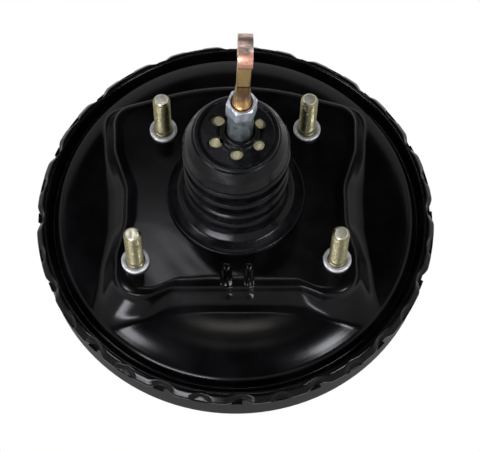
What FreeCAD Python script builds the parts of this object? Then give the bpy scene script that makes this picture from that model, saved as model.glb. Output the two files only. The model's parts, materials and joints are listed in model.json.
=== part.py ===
import FreeCAD, Part
import math
import os

import Sketcher
from FreeCAD import Placement, Rotation, Vector

# A single-diaphragm vacuum brake booster, standing with its pedal side up.
# Millimetres. +Z runs along the push rod towards the pedal, +Y points up the bulkhead,
# and the origin is the centre of the flat mounting plateau of the rear shell.

SIZES = {
    # Studs that hold the booster to the bulkhead, in a trapezoid
    "stud_diameter": 10.0,
    "stud_shank_diameter": 10.7,
    "stud_shank_reach": 3.0,
    "stud_reach": 36.6,
    "stud_tip_diameter": 7.6,
    "stud_tip_length": 1.6,
    "stud_head_diameter": 17.0,
    "stud_head_height": 3.4,
    "upper_stud_x": 41.9,
    "upper_stud_y": 41.2,
    "lower_stud_x": 56.6,
    "lower_stud_y": 42.3,
    "collar_diameter": 16.0,
    "collar_height": 2.5,
    # Clearances
    "fit_gap": 0.05,
    "seat_gap": 0.15,
    "free_gap": 0.4,
    # Rear shell: sheet, dome and pressed plateau
    "rear_wall": 1.6,
    "rear_plate_wall": 2.0,
    "rear_plate_margin": 7.5,
    "dome_waist_radius": 40.0,
    "dome_waist_depth": 8.4,
    "dome_shoulder_inset": 24.8,
    "dome_shoulder_depth": 20.4,
    "dome_foot_inset": 9.8,
    "dome_foot_depth": 25.0,
    "plateau_far_y": 78.0,
    "plateau_far_bow": 142.0,
    "plateau_corner_x": 71.5,
    "plateau_corner_y": 57.0,
    "plateau_corner_round": 13.0,
    "plateau_side_x": 70.3,
    "plateau_side_y": 29.0,
    "plateau_waist_x": 62.8,
    "plateau_waist_top": 6.0,
    "plateau_waist_bottom": 16.0,
    "plateau_bend": 24.0,
    "ear_x": 68.0,
    "ear_top": 36.0,
    "ear_bottom": 62.3,
    "ear_round": 14.5,
    "ear_inner_x": 48.0,
    "edge_x": 36.0,
    "edge_y": 57.2,
    "edge_bend": 12.0,
    "flank_depth": 26.0,
    "flank_far": 12.0,
    "flank_side": 9.0,
    "flank_waist": 22.0,
    "flank_edge": 16.0,
    "flank_ear": 13.0,
    "flank_ear_side": 14.0,
    # Collar in the middle of the plateau, which houses the guide seal
    "housing_radius": 28.5,
    "housing_height": 6.0,
    "mouth_radius": 23.4,
    # Rim of the rear shell
    "rim_channel_depth": 31.0,
    "rim_channel_outer_inset": 6.8,
    "rim_top_inset": 4.2,
    "rim_top_depth": 24.5,
    "rim_flat_inset": 0.8,
    "rim_edge_overhang": 2.2,
    "rim_edge_depth": 28.2,
    "lobe_count": 16,
    "notch_width": 13.0,
    "notch_depth": 3.4,
    "crimp_radius": 20.0,
    "crimp_depth": 0.8,
    # Front shell
    "front_wall": 2.0,
    "front_radius": 114.8,
    "front_top": 28.4,
    "front_wall_end": 52.0,
    "front_cone_inset": 8.8,
    "front_cone_depth": 64.0,
    "front_step_inset": 22.8,
    "front_step_depth": 80.0,
    "front_face_radius": 58.0,
    "front_face_depth": 100.0,
    "front_nose_radius": 53.0,
    "front_bend": 6.0,
    "front_bore": 17.0,
    "tab_width": 6.0,
    "tab_height": 4.5,
    "tab_reach": 1.5,
    # Valve body, the moving hub of the piston
    "neck_radius": 22.0,
    "neck_top": 68.0,
    "chamber_radius": 18.5,
    "chamber_floor": 12.0,
    "vacuum_seat_radius": 12.6,
    "vacuum_seat_height": 2.0,
    "hub_radius": 27.0,
    "hub_front": 46.0,
    "flange_radius": 36.0,
    "flange_top": 30.0,
    "flange_bottom": 33.2,
    "reaction_radius": 13.9,
    "reaction_top": 34.0,
    "passage_radius": 1.8,
    "passage_circle": 16.3,
    "key_top": 9.0,
    "key_thickness": 3.0,
    "key_width": 13.0,
    "key_reach": 26.0,
    "key_arm": 3.4,
    # Piston plate and diaphragm
    "plate_wall": 1.5,
    "plate_inset": 16.8,
    "plate_rim_depth": 38.0,
    "plate_flat_radius": 60.0,
    "plate_crown_radius": 66.0,
    "plate_crown_rise": 3.5,
    "plate_hip_inset": 30.8,
    "plate_shoulder_inset": 19.3,
    "plate_shoulder_drop": 3.0,
    "rubber_wall": 1.4,
    "bead_outer_inset": 2.3,
    "bead_top": 28.7,
    "bead_bottom": 33.4,
    "roll_depth": 44.0,
    # Valve plunger
    "plunger_radius": 6.0,
    "plunger_neck_radius": 4.5,
    "plunger_nose": 32.0,
    "plunger_travel": 1.8,
    "plunger_head_radius": 9.4,
    "plunger_head_bottom": 3.0,
    "air_seat_radius": 7.4,
    "ball_radius": 5.0,
    "socket_mouth_radius": 4.5,
    # Poppet valve and its springs
    "poppet_hole": 6.6,
    "poppet_disc": 15.2,
    "poppet_thickness": 2.4,
    "poppet_top": 25.9,
    "retainer_wall": 1.0,
    "retainer_height": 14.0,
    "retainer_hole": 11.0,
    "spring_seat_height": 45.8,
    "spring_seat_radius": 13.6,
    "spring_seat_wall": 1.4,
    "poppet_spring_radius": 8.4,
    "poppet_spring_wire": 1.0,
    "valve_spring_radius": 12.4,
    "valve_spring_wire": 1.5,
    # Filters in the neck
    "filter_bottom": 50.0,
    "filter_top": 63.8,
    "felt_top": 67.0,
    "filter_hole": 10.0,
    # Input rod, coupling sleeve and rod eye
    "rod_lean": 1.4,
    "rod_radius": 3.8,
    "rod_top": 92.0,
    "sleeve_radius": 6.9,
    "sleeve_bottom": 70.0,
    "hex_bottom": 97.5,
    "hex_top": 106.0,
    "hex_across_flats": 14.4,
    "hex_mouth_radius": 5.45,
    "hex_mouth_depth": 7.0,
    "eye_shank_bottom": 93.5,
    "eye_neck_radius": 4.3,
    "eye_neck_top": 115.0,
    "eye_blend_top": 122.0,
    "eye_bar_thickness": 6.8,
    "eye_bar_width": 9.4,
    "eye_centre_height": 155.7,
    "eye_radius": 8.4,
    "eye_thickness": 7.4,
    "eye_step_height": 129.0,
    "eye_hole_radius": 4.1,
    # Dust boot
    "boot_wall": 1.5,
    "boot_flange_radius": 39.6,
    "boot_flange_height": 3.0,
    "boot_flare_radius": 33.6,
    "boot_flare_height": 6.6,
    "boot_radius": 29.0,
    "boot_groove_radius": 27.4,
    "boot_lowest_groove": 19.0,
    "boot_groove_pitch": 12.3,
    "boot_shoulder_height": 64.0,
    "boot_top": 72.0,
    "boot_top_radius": 22.0,
    "air_hole_radius": 2.9,
    "air_hole_circle": 13.2,
    "air_hole_turn": -4.6,
    "boot_lip_radius": 9.3,
    "boot_lip_bottom": 69.6,
    "boot_lip_top": 76.0,
    # Output side
    "disc_bottom": 42.0,
    "output_head_radius": 13.8,
    "output_rod_radius": 5.0,
    "output_rod_end": 104.0,
    "output_screw_radius": 3.0,
    "output_screw_end": 113.0,
    "screw_hex": 8.0,
    "screw_head_height": 3.5,
    "output_retainer_wall": 1.2,
    "return_spring_radius": 31.0,
    "return_spring_wire": 3.6,
    "front_plate_wall": 3.0,
    "front_plate_radius": 49.0,
    "master_stud_radius": 4.0,
    "master_shank_radius": 4.35,
    "master_shank_reach": 0.6,
    "master_stud_x": 41.0,
    "master_stud_reach": 24.0,
    # Vacuum check valve
    "valve_x": 38.0,
    "valve_y": 65.0,
    "valve_radius": 8.6,
    "valve_chamber_radius": 6.2,
    "valve_hose_radius": 4.6,
    "valve_hose_bore": 2.6,
    "valve_depth": 11.0,
    "hose_reach": 22.0,
    "grommet_hole": 8.8,
    "grommet_radius": 12.0,
}


# Whole turns of each coil, which is built turn by turn
TURNS = {
    "return_spring": 5,
    "poppet_spring": 5,
    "valve_return_spring": 4,
    "check_valve_spring": 3,
}


class Size:
    """A number together with the spreadsheet formula that it comes from."""

    def __init__(self, value, formula=None):
        self.value = float(value)
        self.formula = formula or repr(float(value))

    @staticmethod
    def of(number):
        return number if isinstance(number, Size) else Size(number)

    def __add__(self, other):
        other = Size.of(other)
        return Size(self.value + other.value, f"({self.formula} + {other.formula})")

    def __sub__(self, other):
        other = Size.of(other)
        return Size(self.value - other.value, f"({self.formula} - {other.formula})")

    def __mul__(self, other):
        other = Size.of(other)
        return Size(self.value * other.value, f"({self.formula} * {other.formula})")

    def __truediv__(self, other):
        other = Size.of(other)
        return Size(self.value / other.value, f"({self.formula} / {other.formula})")

    def __radd__(self, other):
        return Size.of(other) + self

    def __rsub__(self, other):
        return Size.of(other) - self

    def __rmul__(self, other):
        return Size.of(other) * self

    def __neg__(self):
        return Size(-self.value, f"(-1 * {self.formula})")


def make_sheet(document):
    """The spreadsheet of driving dimensions, and a Size for each of its cells."""
    sheet = document.addObject("Spreadsheet::Sheet", "Sizes")
    for row, (alias, value) in enumerate(SIZES.items(), start=1):
        sheet.set(f"A{row}", alias)
        sheet.set(f"B{row}", str(value))
        sheet.setAlias(f"B{row}", alias)
    document.recompute()
    return {alias: Size(value, "Sizes." + alias) for alias, value in SIZES.items()}


doc = FreeCAD.newDocument("brake_booster")
size = make_sheet(doc)
for ring in ("dome_shoulder", "dome_foot", "rim_top", "rim_flat", "front_cone", "front_step",
             "plate", "plate_hip", "plate_shoulder"):
    size[ring + "_radius"] = size["front_radius"] - size[ring + "_inset"]
size["rim_edge_radius"] = size["front_radius"] + size["rim_edge_overhang"]
size["rim_channel_outer"] = size["front_radius"] - size["rim_channel_outer_inset"]
size["bead_outer"] = size["front_radius"] - size["bead_outer_inset"]
finished = []


def bind(thing, path, number):
    thing.setExpression(path, Size.of(number).formula)


def bind_size(thing, name, number):
    """Set a numeric property and tie it to the sheet."""
    setattr(thing, name, Size.of(number).value)
    bind(thing, name, number)


def finish(thing, label):
    thing.Label = label
    finished.append(thing)
    return thing


def origin_feature(body, role):
    return next(item for item in body.Origin.OriginFeatures if item.Role == role)


def sketch_on(body, role, name, height=None):
    """A sketch on one of the body's own origin planes, raised by height along its normal."""
    sketch = body.newObject("Sketcher::SketchObject", name)
    sketch.AttachmentSupport = (origin_feature(body, role), [""])
    sketch.MapMode = "FlatFace"
    if height is not None:
        sketch.AttachmentOffset = Placement(Vector(0, 0, Size.of(height).value), Rotation())
        bind(sketch, "AttachmentOffset.Base.z", height)
    return sketch


def corner_arc(before, corner, after, radius):
    """The arc that rounds a corner, its two ends, and whether it runs counter-clockwise."""
    back = (before - corner).normalize()
    onward = (after - corner).normalize()
    half = math.acos(max(-1.0, min(1.0, back.dot(onward)))) / 2
    start = corner + back * (radius / math.tan(half))
    end = corner + onward * (radius / math.tan(half))
    centre = corner + (back + onward).normalize() * (radius / math.sin(half))
    counter_clockwise = back.cross(onward).z < 0
    first, last = (start, end) if counter_clockwise else (end, start)
    a = math.atan2(first.y - centre.y, first.x - centre.x)
    b = math.atan2(last.y - centre.y, last.x - centre.x)
    if b < a:
        b += 2 * math.pi
    arc = Part.ArcOfCircle(Part.Circle(centre, Vector(0, 0, 1), radius), a, b)
    return arc, start, end, counter_clockwise


def draw(sketch, corners, closed=True):
    """Draw a path through (x, y) corners, rounded where a corner has a third number.

    Every corner is dimensioned from the sketch's origin with formulas on the sheet.
    """
    count = len(corners)
    places = [(Size.of(corner[0]), Size.of(corner[1])) for corner in corners]
    rounds = [Size.of(corner[2]) if len(corner) > 2 else None for corner in corners]
    points = [Vector(x.value, y.value, 0) for x, y in places]
    starts = list(points)
    ends = list(points)
    arcs = [None] * count
    for i in range(count):
        if rounds[i] is not None:
            arc, ends[i], starts[i], forward = corner_arc(
                points[i - 1], points[i], points[(i + 1) % count], rounds[i].value)
            arcs[i] = (arc, forward)
    lines = count if closed else count - 1
    for i in range(lines):
        sketch.addGeometry(Part.LineSegment(starts[i], ends[(i + 1) % count]))
    rules = []
    bound = []

    def fix(kind, geometry, end, number):
        bound.append((len(rules), number))
        rules.append(Sketcher.Constraint(kind, -1, 1, geometry, end, number.value))

    for i in range(count):
        line_in = (i - 1) % count
        if rounds[i] is not None:
            arc, forward = arcs[i]
            bend = sketch.addGeometry(arc)
            tip = sketch.addGeometry(Part.Point(points[i]), True)
            first, last = (1, 2) if forward else (2, 1)
            rules.append(Sketcher.Constraint("Tangent", line_in, 2, bend, first))
            rules.append(Sketcher.Constraint("Tangent", bend, last, i, 1))
            bound.append((len(rules), rounds[i]))
            rules.append(Sketcher.Constraint("Radius", bend, rounds[i].value))
            rules.append(Sketcher.Constraint("PointOnObject", tip, 1, line_in))
            rules.append(Sketcher.Constraint("PointOnObject", tip, 1, i))
            held, end = tip, 1
        elif i == 0 and not closed:
            held, end = 0, 1
        elif i == count - 1 and not closed:
            held, end = lines - 1, 2
        else:
            rules.append(Sketcher.Constraint("Coincident", line_in, 2, i, 1))
            held, end = i, 1
        fix("DistanceX", held, end, places[i][0])
        fix("DistanceY", held, end, places[i][1])
    sketch.addConstraint(rules)
    for index, number in bound:
        sketch.setExpression(f"Constraints[{index}]", number.formula)
    return sketch


def draw_circle(sketch, x, y, radius):
    """A circle dimensioned from the sketch's origin."""
    x, y, radius = Size.of(x), Size.of(y), Size.of(radius)
    circle = Part.Circle(Vector(x.value, y.value, 0), Vector(0, 0, 1), radius.value)
    index = sketch.addGeometry(circle)
    first = sketch.ConstraintCount
    sketch.addConstraint(Sketcher.Constraint("DistanceX", -1, 1, index, 3, x.value))
    sketch.addConstraint(Sketcher.Constraint("DistanceY", -1, 1, index, 3, y.value))
    sketch.addConstraint(Sketcher.Constraint("Radius", index, radius.value))
    for offset, number in enumerate((x, y, radius)):
        sketch.setExpression(f"Constraints[{first + offset}]", number.formula)
    return sketch


def turn(body, corners, name):
    """Revolve a closed outline of (radius, height) corners about the body's Z axis."""
    outline = draw(sketch_on(body, "XZ_Plane", name + "_outline"), corners)
    spin = body.newObject("PartDesign::Revolution", name + "_turn")
    spin.Profile = outline
    spin.ReferenceAxis = (outline, ["V_Axis"])
    spin.Angle = 360
    return spin


def turned(label, corners):
    body = doc.addObject("PartDesign::Body", label)
    turn(body, corners, label)
    return body


def pressed(label, corners, wall):
    """Sheet of even wall, revolved from one face of its section drawn as an open path.

    The wall lies on the left of the path for a positive number.
    """
    path = doc.addObject("Sketcher::SketchObject", label + "_path")
    path.Placement = Placement(Vector(), Rotation(Vector(1, 0, 0), 90))
    draw(path, corners, closed=False)
    section = doc.addObject("Part::Offset2D", label + "_section")
    section.Source = path
    section.Fill = True
    section.Mode = "Skin"
    section.Join = "Arc"
    bind_size(section, "Value", wall)
    solid = doc.addObject("Part::Revolution", label + "_sheet")
    solid.Source = section
    solid.Axis = (0, 0, 1)
    solid.Angle = 360
    solid.Solid = True
    return solid


def body_from(solid, label):
    doc.recompute()
    body = doc.addObject("PartDesign::Body", label)
    body.BaseFeature = solid
    doc.recompute()
    return body


def pocket_through(body, sketch, name):
    """Cut a sketch through the whole body, on both sides of its plane."""
    cut = body.newObject("PartDesign::Pocket", name)
    cut.Profile = sketch
    cut.Type = "ThroughAll"
    cut.SideType = "Symmetric"
    return cut


def around(body, feature, count, name):
    """Repeat a feature evenly about the body's Z axis."""
    pattern = body.newObject("PartDesign::PolarPattern", name)
    pattern.Originals = [feature]
    pattern.Axis = (origin_feature(body, "Z_Axis"), [""])
    pattern.Angle = 360
    pattern.Occurrences = int(Size.of(count).value)
    bind(pattern, "Occurrences", count)
    body.Tip = pattern
    return pattern


def drill_through(body, name, places, radius):
    sketch = sketch_on(body, "XY_Plane", name + "_circles")
    for x, y in places:
        draw_circle(sketch, x, y, radius)
    return pocket_through(body, sketch, name)


def cut_away(base, tool, name):
    """Cut base by tool as a Part boolean."""
    cut = doc.addObject("Part::Cut", name)
    cut.Base = base
    cut.Tool = tool
    return cut


def fused(name, *shapes):
    fuse = doc.addObject("Part::MultiFuse", name)
    fuse.Shapes = list(shapes)
    return fuse


def lean(thing):
    """Lean a piece of the rod train about the centre of the rod's ball."""
    thing.Placement = Placement(Vector(), Rotation(Vector(0, 1, 0), size["rod_lean"].value))
    bind(thing, "Placement.Rotation.Angle", size["rod_lean"])
    return thing


def set_at(label, master, places):
    """One node of identical separate pieces, each a link to the same master."""
    links = []
    for number, (x, y, z) in enumerate(places, start=1):
        link = doc.addObject("App::Link", f"{label}_{number}")
        link.LinkedObject = master
        place = [Size.of(x), Size.of(y), Size.of(z)]
        link.LinkPlacement = Placement(Vector(*[p.value for p in place]), Rotation())
        for axis, number_on_axis in zip("xyz", place):
            bind(link, "LinkPlacement.Base." + axis, number_on_axis)
        links.append(link)
    group = doc.addObject("Part::Compound", label)
    group.Links = links
    return finish(group, label)


def stud_places():
    upper_x, upper_y = size["upper_stud_x"], size["upper_stud_y"]
    lower_x, lower_y = size["lower_stud_x"], size["lower_stud_y"]
    return [(-upper_x, upper_y), (upper_x, upper_y), (-lower_x, -lower_y), (lower_x, -lower_y)]


def make_mounting_studs():
    """Four M10 studs, their heads behind the plate and their wider shanks pressed through it."""
    radius = size["stud_diameter"] / 2
    shank = size["stud_shank_diameter"] / 2
    tip = size["stud_tip_diameter"] / 2
    reach = size["stud_reach"]
    head = size["stud_head_diameter"] / 2
    under = -size["rear_wall"] - size["rear_plate_wall"]
    stud = turned("mounting_stud", [
        (0, under - size["stud_head_height"]),
        (head, under - size["stud_head_height"]),
        (head, under),
        (shank, under),
        (shank, size["stud_shank_reach"]),
        (radius, size["stud_shank_reach"] + shank - radius),
        (radius, reach - size["stud_tip_length"] - (radius - tip)),
        (tip, reach - size["stud_tip_length"]),
        (tip, reach - 0.5),
        (tip - 0.5, reach),
        (0, reach),
    ])
    set_at("mounting_studs", stud, [(x, y, 0) for x, y in stud_places()])


def make_stud_collars():
    """Plain steel collars pressed over the feet of the studs."""
    outer = size["collar_diameter"] / 2
    inner = size["stud_shank_diameter"] / 2 + size["fit_gap"]
    top = size["collar_height"]
    collar = turned("stud_collar", [
        (inner, 0), (outer, 0), (outer, top - 0.5), (outer - 0.5, top), (inner, top)])
    set_at("stud_collars", collar, [(x, y, 0) for x, y in stud_places()])


def plateau_corners(inset, spread):
    """Corners of the plateau's outline, or of its flank's foot where spread is 1.

    inset brings the whole outline inwards, for the inner face of the sheet.
    """
    def grow(name):
        return size[name] * spread - inset

    side = grow("flank_side")
    waist = grow("flank_waist")
    ear_out = grow("flank_ear_side")
    ear_down = grow("flank_ear")
    edge = grow("flank_edge")
    right = [
        (size["plateau_corner_x"] + side, size["plateau_corner_y"] + side,
         size["plateau_corner_round"]),
        (size["plateau_side_x"] + side, size["plateau_side_y"], size["plateau_bend"]),
        (size["plateau_waist_x"] + waist, size["plateau_waist_top"], size["plateau_bend"]),
        (size["plateau_waist_x"] + waist, -size["plateau_waist_bottom"], size["plateau_bend"]),
        (size["ear_x"] + ear_out, -size["ear_top"], size["plateau_bend"]),
        (size["ear_x"] + ear_out, -size["ear_bottom"] - ear_down,
         size["ear_round"] - inset),
        (size["ear_inner_x"], -size["ear_bottom"] - ear_down, size["edge_bend"]),
        (size["edge_x"], -size["edge_y"] - edge, size["edge_bend"]),
    ]
    left = [(-x, y, radius) for x, y, radius in reversed(right)]
    apex = (Size(0), size["plateau_far_y"] + grow("flank_far"), size["plateau_far_bow"])
    return [apex] + right + left


def plateau_block(name, inset, top):
    """The plateau as a solid that flares from its flat top down to its flank's foot."""
    body = doc.addObject("PartDesign::Body", name)
    upper = sketch_on(body, "XY_Plane", name + "_top", top)
    draw(upper, plateau_corners(inset, 0))
    lower = sketch_on(body, "XY_Plane", name + "_foot", top - size["flank_depth"])
    draw(lower, plateau_corners(inset, 1))
    loft = body.newObject("PartDesign::AdditiveLoft", name + "_loft")
    loft.Profile = upper
    loft.Sections = [lower]
    loft.Ruled = True
    return body


def dome_block(name, wall):
    """Everything under the dome's outer face, or under its inner face for a wall above 0."""
    bottom = -size["rim_channel_depth"] - size["rear_wall"]
    foot = size["dome_foot_radius"] - wall
    return turned(name, [
        (0, -size["dome_waist_depth"] - wall),
        (size["dome_waist_radius"], -size["dome_waist_depth"] - wall),
        (size["dome_shoulder_radius"], -size["dome_shoulder_depth"] - wall, 90),
        (foot, -size["dome_foot_depth"] - wall, 4 - wall),
        (foot, bottom),
        (0, bottom),
    ])


def rim_ring():
    """The rolled rim: channel, flat top and the sloping flange that the lobes are cut in."""
    wall = size["rear_wall"]
    leg = size["dome_foot_radius"] - wall
    floor = -size["rim_channel_depth"]
    top = -size["rim_top_depth"]
    edge_radius, edge = size["rim_edge_radius"], -size["rim_edge_depth"]
    return turned("rear_rim", [
        (leg, floor), (size["rim_channel_outer"], floor, 0.8),
        (size["rim_top_radius"], top, 1.0), (size["rim_flat_radius"], top, 1.4),
        (edge_radius, edge), (edge_radius - wall * 0.777, edge - wall * 0.63),
        (size["rim_flat_radius"] - wall * 0.5, top - wall),
        (size["rim_top_radius"] + wall * 0.875, top - wall),
        (size["rim_channel_outer"] + wall * 0.7, floor - wall), (leg, floor - wall)])


def make_rear_shell():
    """Pressed rear shell: dome, flared plateau, seal housing and lobed rim."""
    wall = size["rear_wall"]
    outside = fused("rear_outside", dome_block("rear_dome", Size(0)),
                    plateau_block("rear_plateau", Size(0), Size(0)),
                    turned("rear_housing", [
                        (0, -wall - 2), (size["housing_radius"], -wall - 2),
                        (size["housing_radius"], size["housing_height"], 2.4),
                        (0, size["housing_height"])]))
    inside = fused("rear_inside", dome_block("rear_dome_inside", wall),
                   plateau_block("rear_plateau_inside", wall, -wall),
                   turned("rear_housing_inside", [
                       (0, -wall * 2 - 2), (size["housing_radius"] - wall, -wall * 2 - 2),
                       (size["housing_radius"] - wall, size["housing_height"] - wall, 1),
                       (0, size["housing_height"] - wall)]))
    sheet = fused("rear_sheet", cut_away(outside, inside, "rear_hollow"), rim_ring())
    body = body_from(sheet, "rear_shell")
    drill_through(body, "rear_stud_holes", stud_places(),
                  size["stud_shank_diameter"] / 2 + size["fit_gap"])
    drill_through(body, "rear_mouth", [(0, 0)], size["mouth_radius"])
    notch = draw(sketch_on(body, "XY_Plane", "rear_notch_outline"), [
        (size["rim_edge_radius"] + 2, -size["notch_width"] / 2 - 2),
        (size["rim_edge_radius"] + 2, size["notch_width"] / 2 + 2),
        (size["rim_edge_radius"] - 0.4, size["notch_width"] / 2 - 0.8, 5),
        (size["rim_edge_radius"] - size["notch_depth"], 0, 1.2),
        (size["rim_edge_radius"] - 0.4, -size["notch_width"] / 2 + 0.8, 5)])
    around(body, pocket_through(body, notch, "rear_notch"), size["lobe_count"], "rear_notches")
    doc.recompute()
    punch = body.newObject("PartDesign::SubtractiveSphere", "rear_crimp")
    punch.AttachmentSupport = (origin_feature(body, "XY_Plane"), [""])
    punch.MapMode = "FlatFace"
    bind_size(punch, "Radius", size["crimp_radius"])
    lift = size["crimp_radius"] - size["crimp_depth"]
    middle = (size["rim_flat_radius"] + size["rim_edge_radius"]) / 2 + lift * 0.777
    height = -(size["rim_top_depth"] + size["rim_edge_depth"]) / 2 + lift * 0.63
    half_lobe = math.pi / SIZES["lobe_count"]
    spot = [middle * math.cos(half_lobe), middle * math.sin(half_lobe), height]
    punch.AttachmentOffset = Placement(Vector(*[s.value for s in spot]), Rotation())
    for axis, number in zip("xyz", spot):
        bind(punch, "AttachmentOffset.Base." + axis, number)
    around(body, punch, size["lobe_count"], "rear_crimps")
    return finish(body, "rear_shell")


def make_rear_stud_plate():
    """Plate behind the plateau that carries the heads of the mounting studs."""
    margin = size["rear_plate_margin"]
    upper = (size["upper_stud_x"] + margin + 3, size["upper_stud_y"] + margin + 3)
    lower = (size["lower_stud_x"] + margin, -size["lower_stud_y"] - margin)
    body = doc.addObject("PartDesign::Body", "rear_stud_plate")
    sketch = sketch_on(body, "XY_Plane", "rear_plate_outline", -size["rear_wall"])
    draw(sketch, [(upper[0], upper[1], 9), (lower[0], lower[1], 8),
                  (-lower[0], lower[1], 8), (-upper[0], upper[1], 9)])
    sheet = body.newObject("PartDesign::Pad", "rear_plate_pad")
    sheet.Profile = sketch
    sheet.Reversed = True
    bind_size(sheet, "Length", size["rear_plate_wall"])
    drill_through(body, "rear_plate_stud_holes", stud_places(),
                  size["stud_shank_diameter"] / 2 + size["fit_gap"])
    drill_through(body, "rear_plate_mouth", [(0, 0)], size["housing_radius"] + 2)
    return finish(body, "rear_stud_plate")


def make_guide_seal():
    """Lip seal on the neck of the valve body, and the ring that keeps it in its housing."""
    bore = size["housing_radius"] - size["rear_wall"] - size["fit_gap"]
    roof = size["housing_height"] - size["rear_wall"] - size["seat_gap"]
    lip = size["neck_radius"] + size["fit_gap"]
    seal_foot = roof - 4.8
    finish(turned("guide_seal", [
        (lip + 0.7, seal_foot), (bore, seal_foot), (bore, roof, 1.3), (lip + 0.7, roof),
        (lip, roof - 1.7), (lip, roof - 2.9)]), "guide_seal")
    under = -size["rear_wall"] - size["seat_gap"]
    finish(turned("guide_seal_retainer", [
        (size["mouth_radius"], under - 1.2), (size["housing_radius"] + 1, under - 1.2),
        (size["housing_radius"] + 1, under), (bore, under),
        (bore, seal_foot - size["seat_gap"]),
        (size["mouth_radius"], seal_foot - size["seat_gap"])]), "guide_seal_retainer")


def make_front_shell():
    """Drawn front shell with its nose face, and the tabs staked out under the lobes."""
    bend = size["front_bend"]
    sheet = pressed("front_shell", [
        (size["front_radius"], -size["front_top"]),
        (size["front_radius"], -size["front_wall_end"], bend),
        (size["front_cone_radius"], -size["front_cone_depth"], bend),
        (size["front_step_radius"], -size["front_step_depth"], bend),
        (size["front_face_radius"], -size["front_step_depth"], bend),
        (size["front_nose_radius"], -size["front_face_depth"], bend),
        (size["front_bore"], -size["front_face_depth"])], -size["front_wall"])
    body = body_from(sheet, "front_shell")
    top = -size["front_top"] - 2.2
    tab = draw(sketch_on(body, "XZ_Plane", "front_tab_outline"), [
        (size["front_radius"] - size["front_wall"] / 2, top),
        (size["front_radius"] + size["tab_reach"], top),
        (size["front_radius"] - size["front_wall"] / 2, top - size["tab_height"])])
    raised = body.newObject("PartDesign::Pad", "front_tab")
    raised.Profile = tab
    raised.SideType = "Symmetric"
    bind_size(raised, "Length", size["tab_width"])
    around(body, raised, size["lobe_count"], "front_tabs")
    drill_through(body, "front_stud_holes",
                  [(-size["master_stud_x"], 0), (size["master_stud_x"], 0)],
                  size["master_shank_radius"] + size["fit_gap"])
    drill_through(body, "front_valve_hole", [(size["valve_x"], size["valve_y"])],
                  size["grommet_hole"])
    return finish(body, "front_shell")


def make_valve_body():
    """Moulded hub of the piston: neck, air chamber, valve seat, flange and front boss."""
    neck = size["neck_radius"]
    floor = size["chamber_floor"]
    seat = floor + size["vacuum_seat_height"]
    plunger_bore = size["plunger_radius"] + size["fit_gap"]
    head_bore = size["plunger_head_radius"] + size["fit_gap"] * 2
    head_floor = -size["plunger_head_bottom"] - size["plunger_travel"] - size["free_gap"]
    body = turned("valve_body", [
        (plunger_bore, -size["reaction_top"]), (size["reaction_radius"], -size["reaction_top"]),
        (size["reaction_radius"], -size["hub_front"]), (size["hub_radius"], -size["hub_front"]),
        (size["hub_radius"], -size["flange_bottom"], 1.0),
        (size["flange_radius"], -size["flange_bottom"], 0.6),
        (size["flange_radius"], -size["flange_top"]), (neck, -size["flange_top"]),
        (neck, size["neck_top"]), (size["chamber_radius"], size["neck_top"]),
        (size["chamber_radius"], floor), (size["vacuum_seat_radius"] + 1.2, floor),
        (size["vacuum_seat_radius"] + 0.3, seat), (size["vacuum_seat_radius"] - 0.3, seat),
        (size["vacuum_seat_radius"] - 1.2, floor), (head_bore, floor),
        (head_bore, head_floor), (plunger_bore, head_floor)])
    circle = size["passage_circle"]
    places = [(circle * math.cos(a), circle * math.sin(a))
              for a in (math.radians(45 + 90 * turn_number) for turn_number in range(4))]
    drill_through(body, "valve_body_passages", places, size["passage_radius"])
    gap = size["seat_gap"]
    slot = sketch_on(body, "XY_Plane", "key_slot_outline", -size["key_top"] + gap)
    half = size["key_width"] / 2 + gap
    back = size["plunger_neck_radius"] + size["key_arm"] + gap
    draw(slot, [(-back, -half), (neck + 3, -half), (neck + 3, half), (-back, half)])
    cut = body.newObject("PartDesign::Pocket", "key_slot")
    cut.Profile = slot
    bind_size(cut, "Length", size["key_thickness"] + gap * 2)
    return finish(body, "valve_body")


def make_stop_key():
    """Forked key through the valve body, round the groove of the plunger."""
    half = size["key_width"] / 2
    fork = size["plunger_neck_radius"] + size["fit_gap"] * 3
    back = size["plunger_neck_radius"] + size["key_arm"]
    body = doc.addObject("PartDesign::Body", "stop_key")
    sketch = sketch_on(body, "XY_Plane", "stop_key_outline", -size["key_top"])
    draw(sketch, [(-back, -half), (size["key_reach"], -half, 1.5), (size["key_reach"], half, 1.5),
                  (-back, half), (-back, fork), (fork, fork, 4), (fork, -fork, 4),
                  (-back, -fork)])
    plate = body.newObject("PartDesign::Pad", "stop_key_pad")
    plate.Profile = sketch
    plate.Reversed = True
    bind_size(plate, "Length", size["key_thickness"])
    return finish(body, "stop_key")


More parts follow.
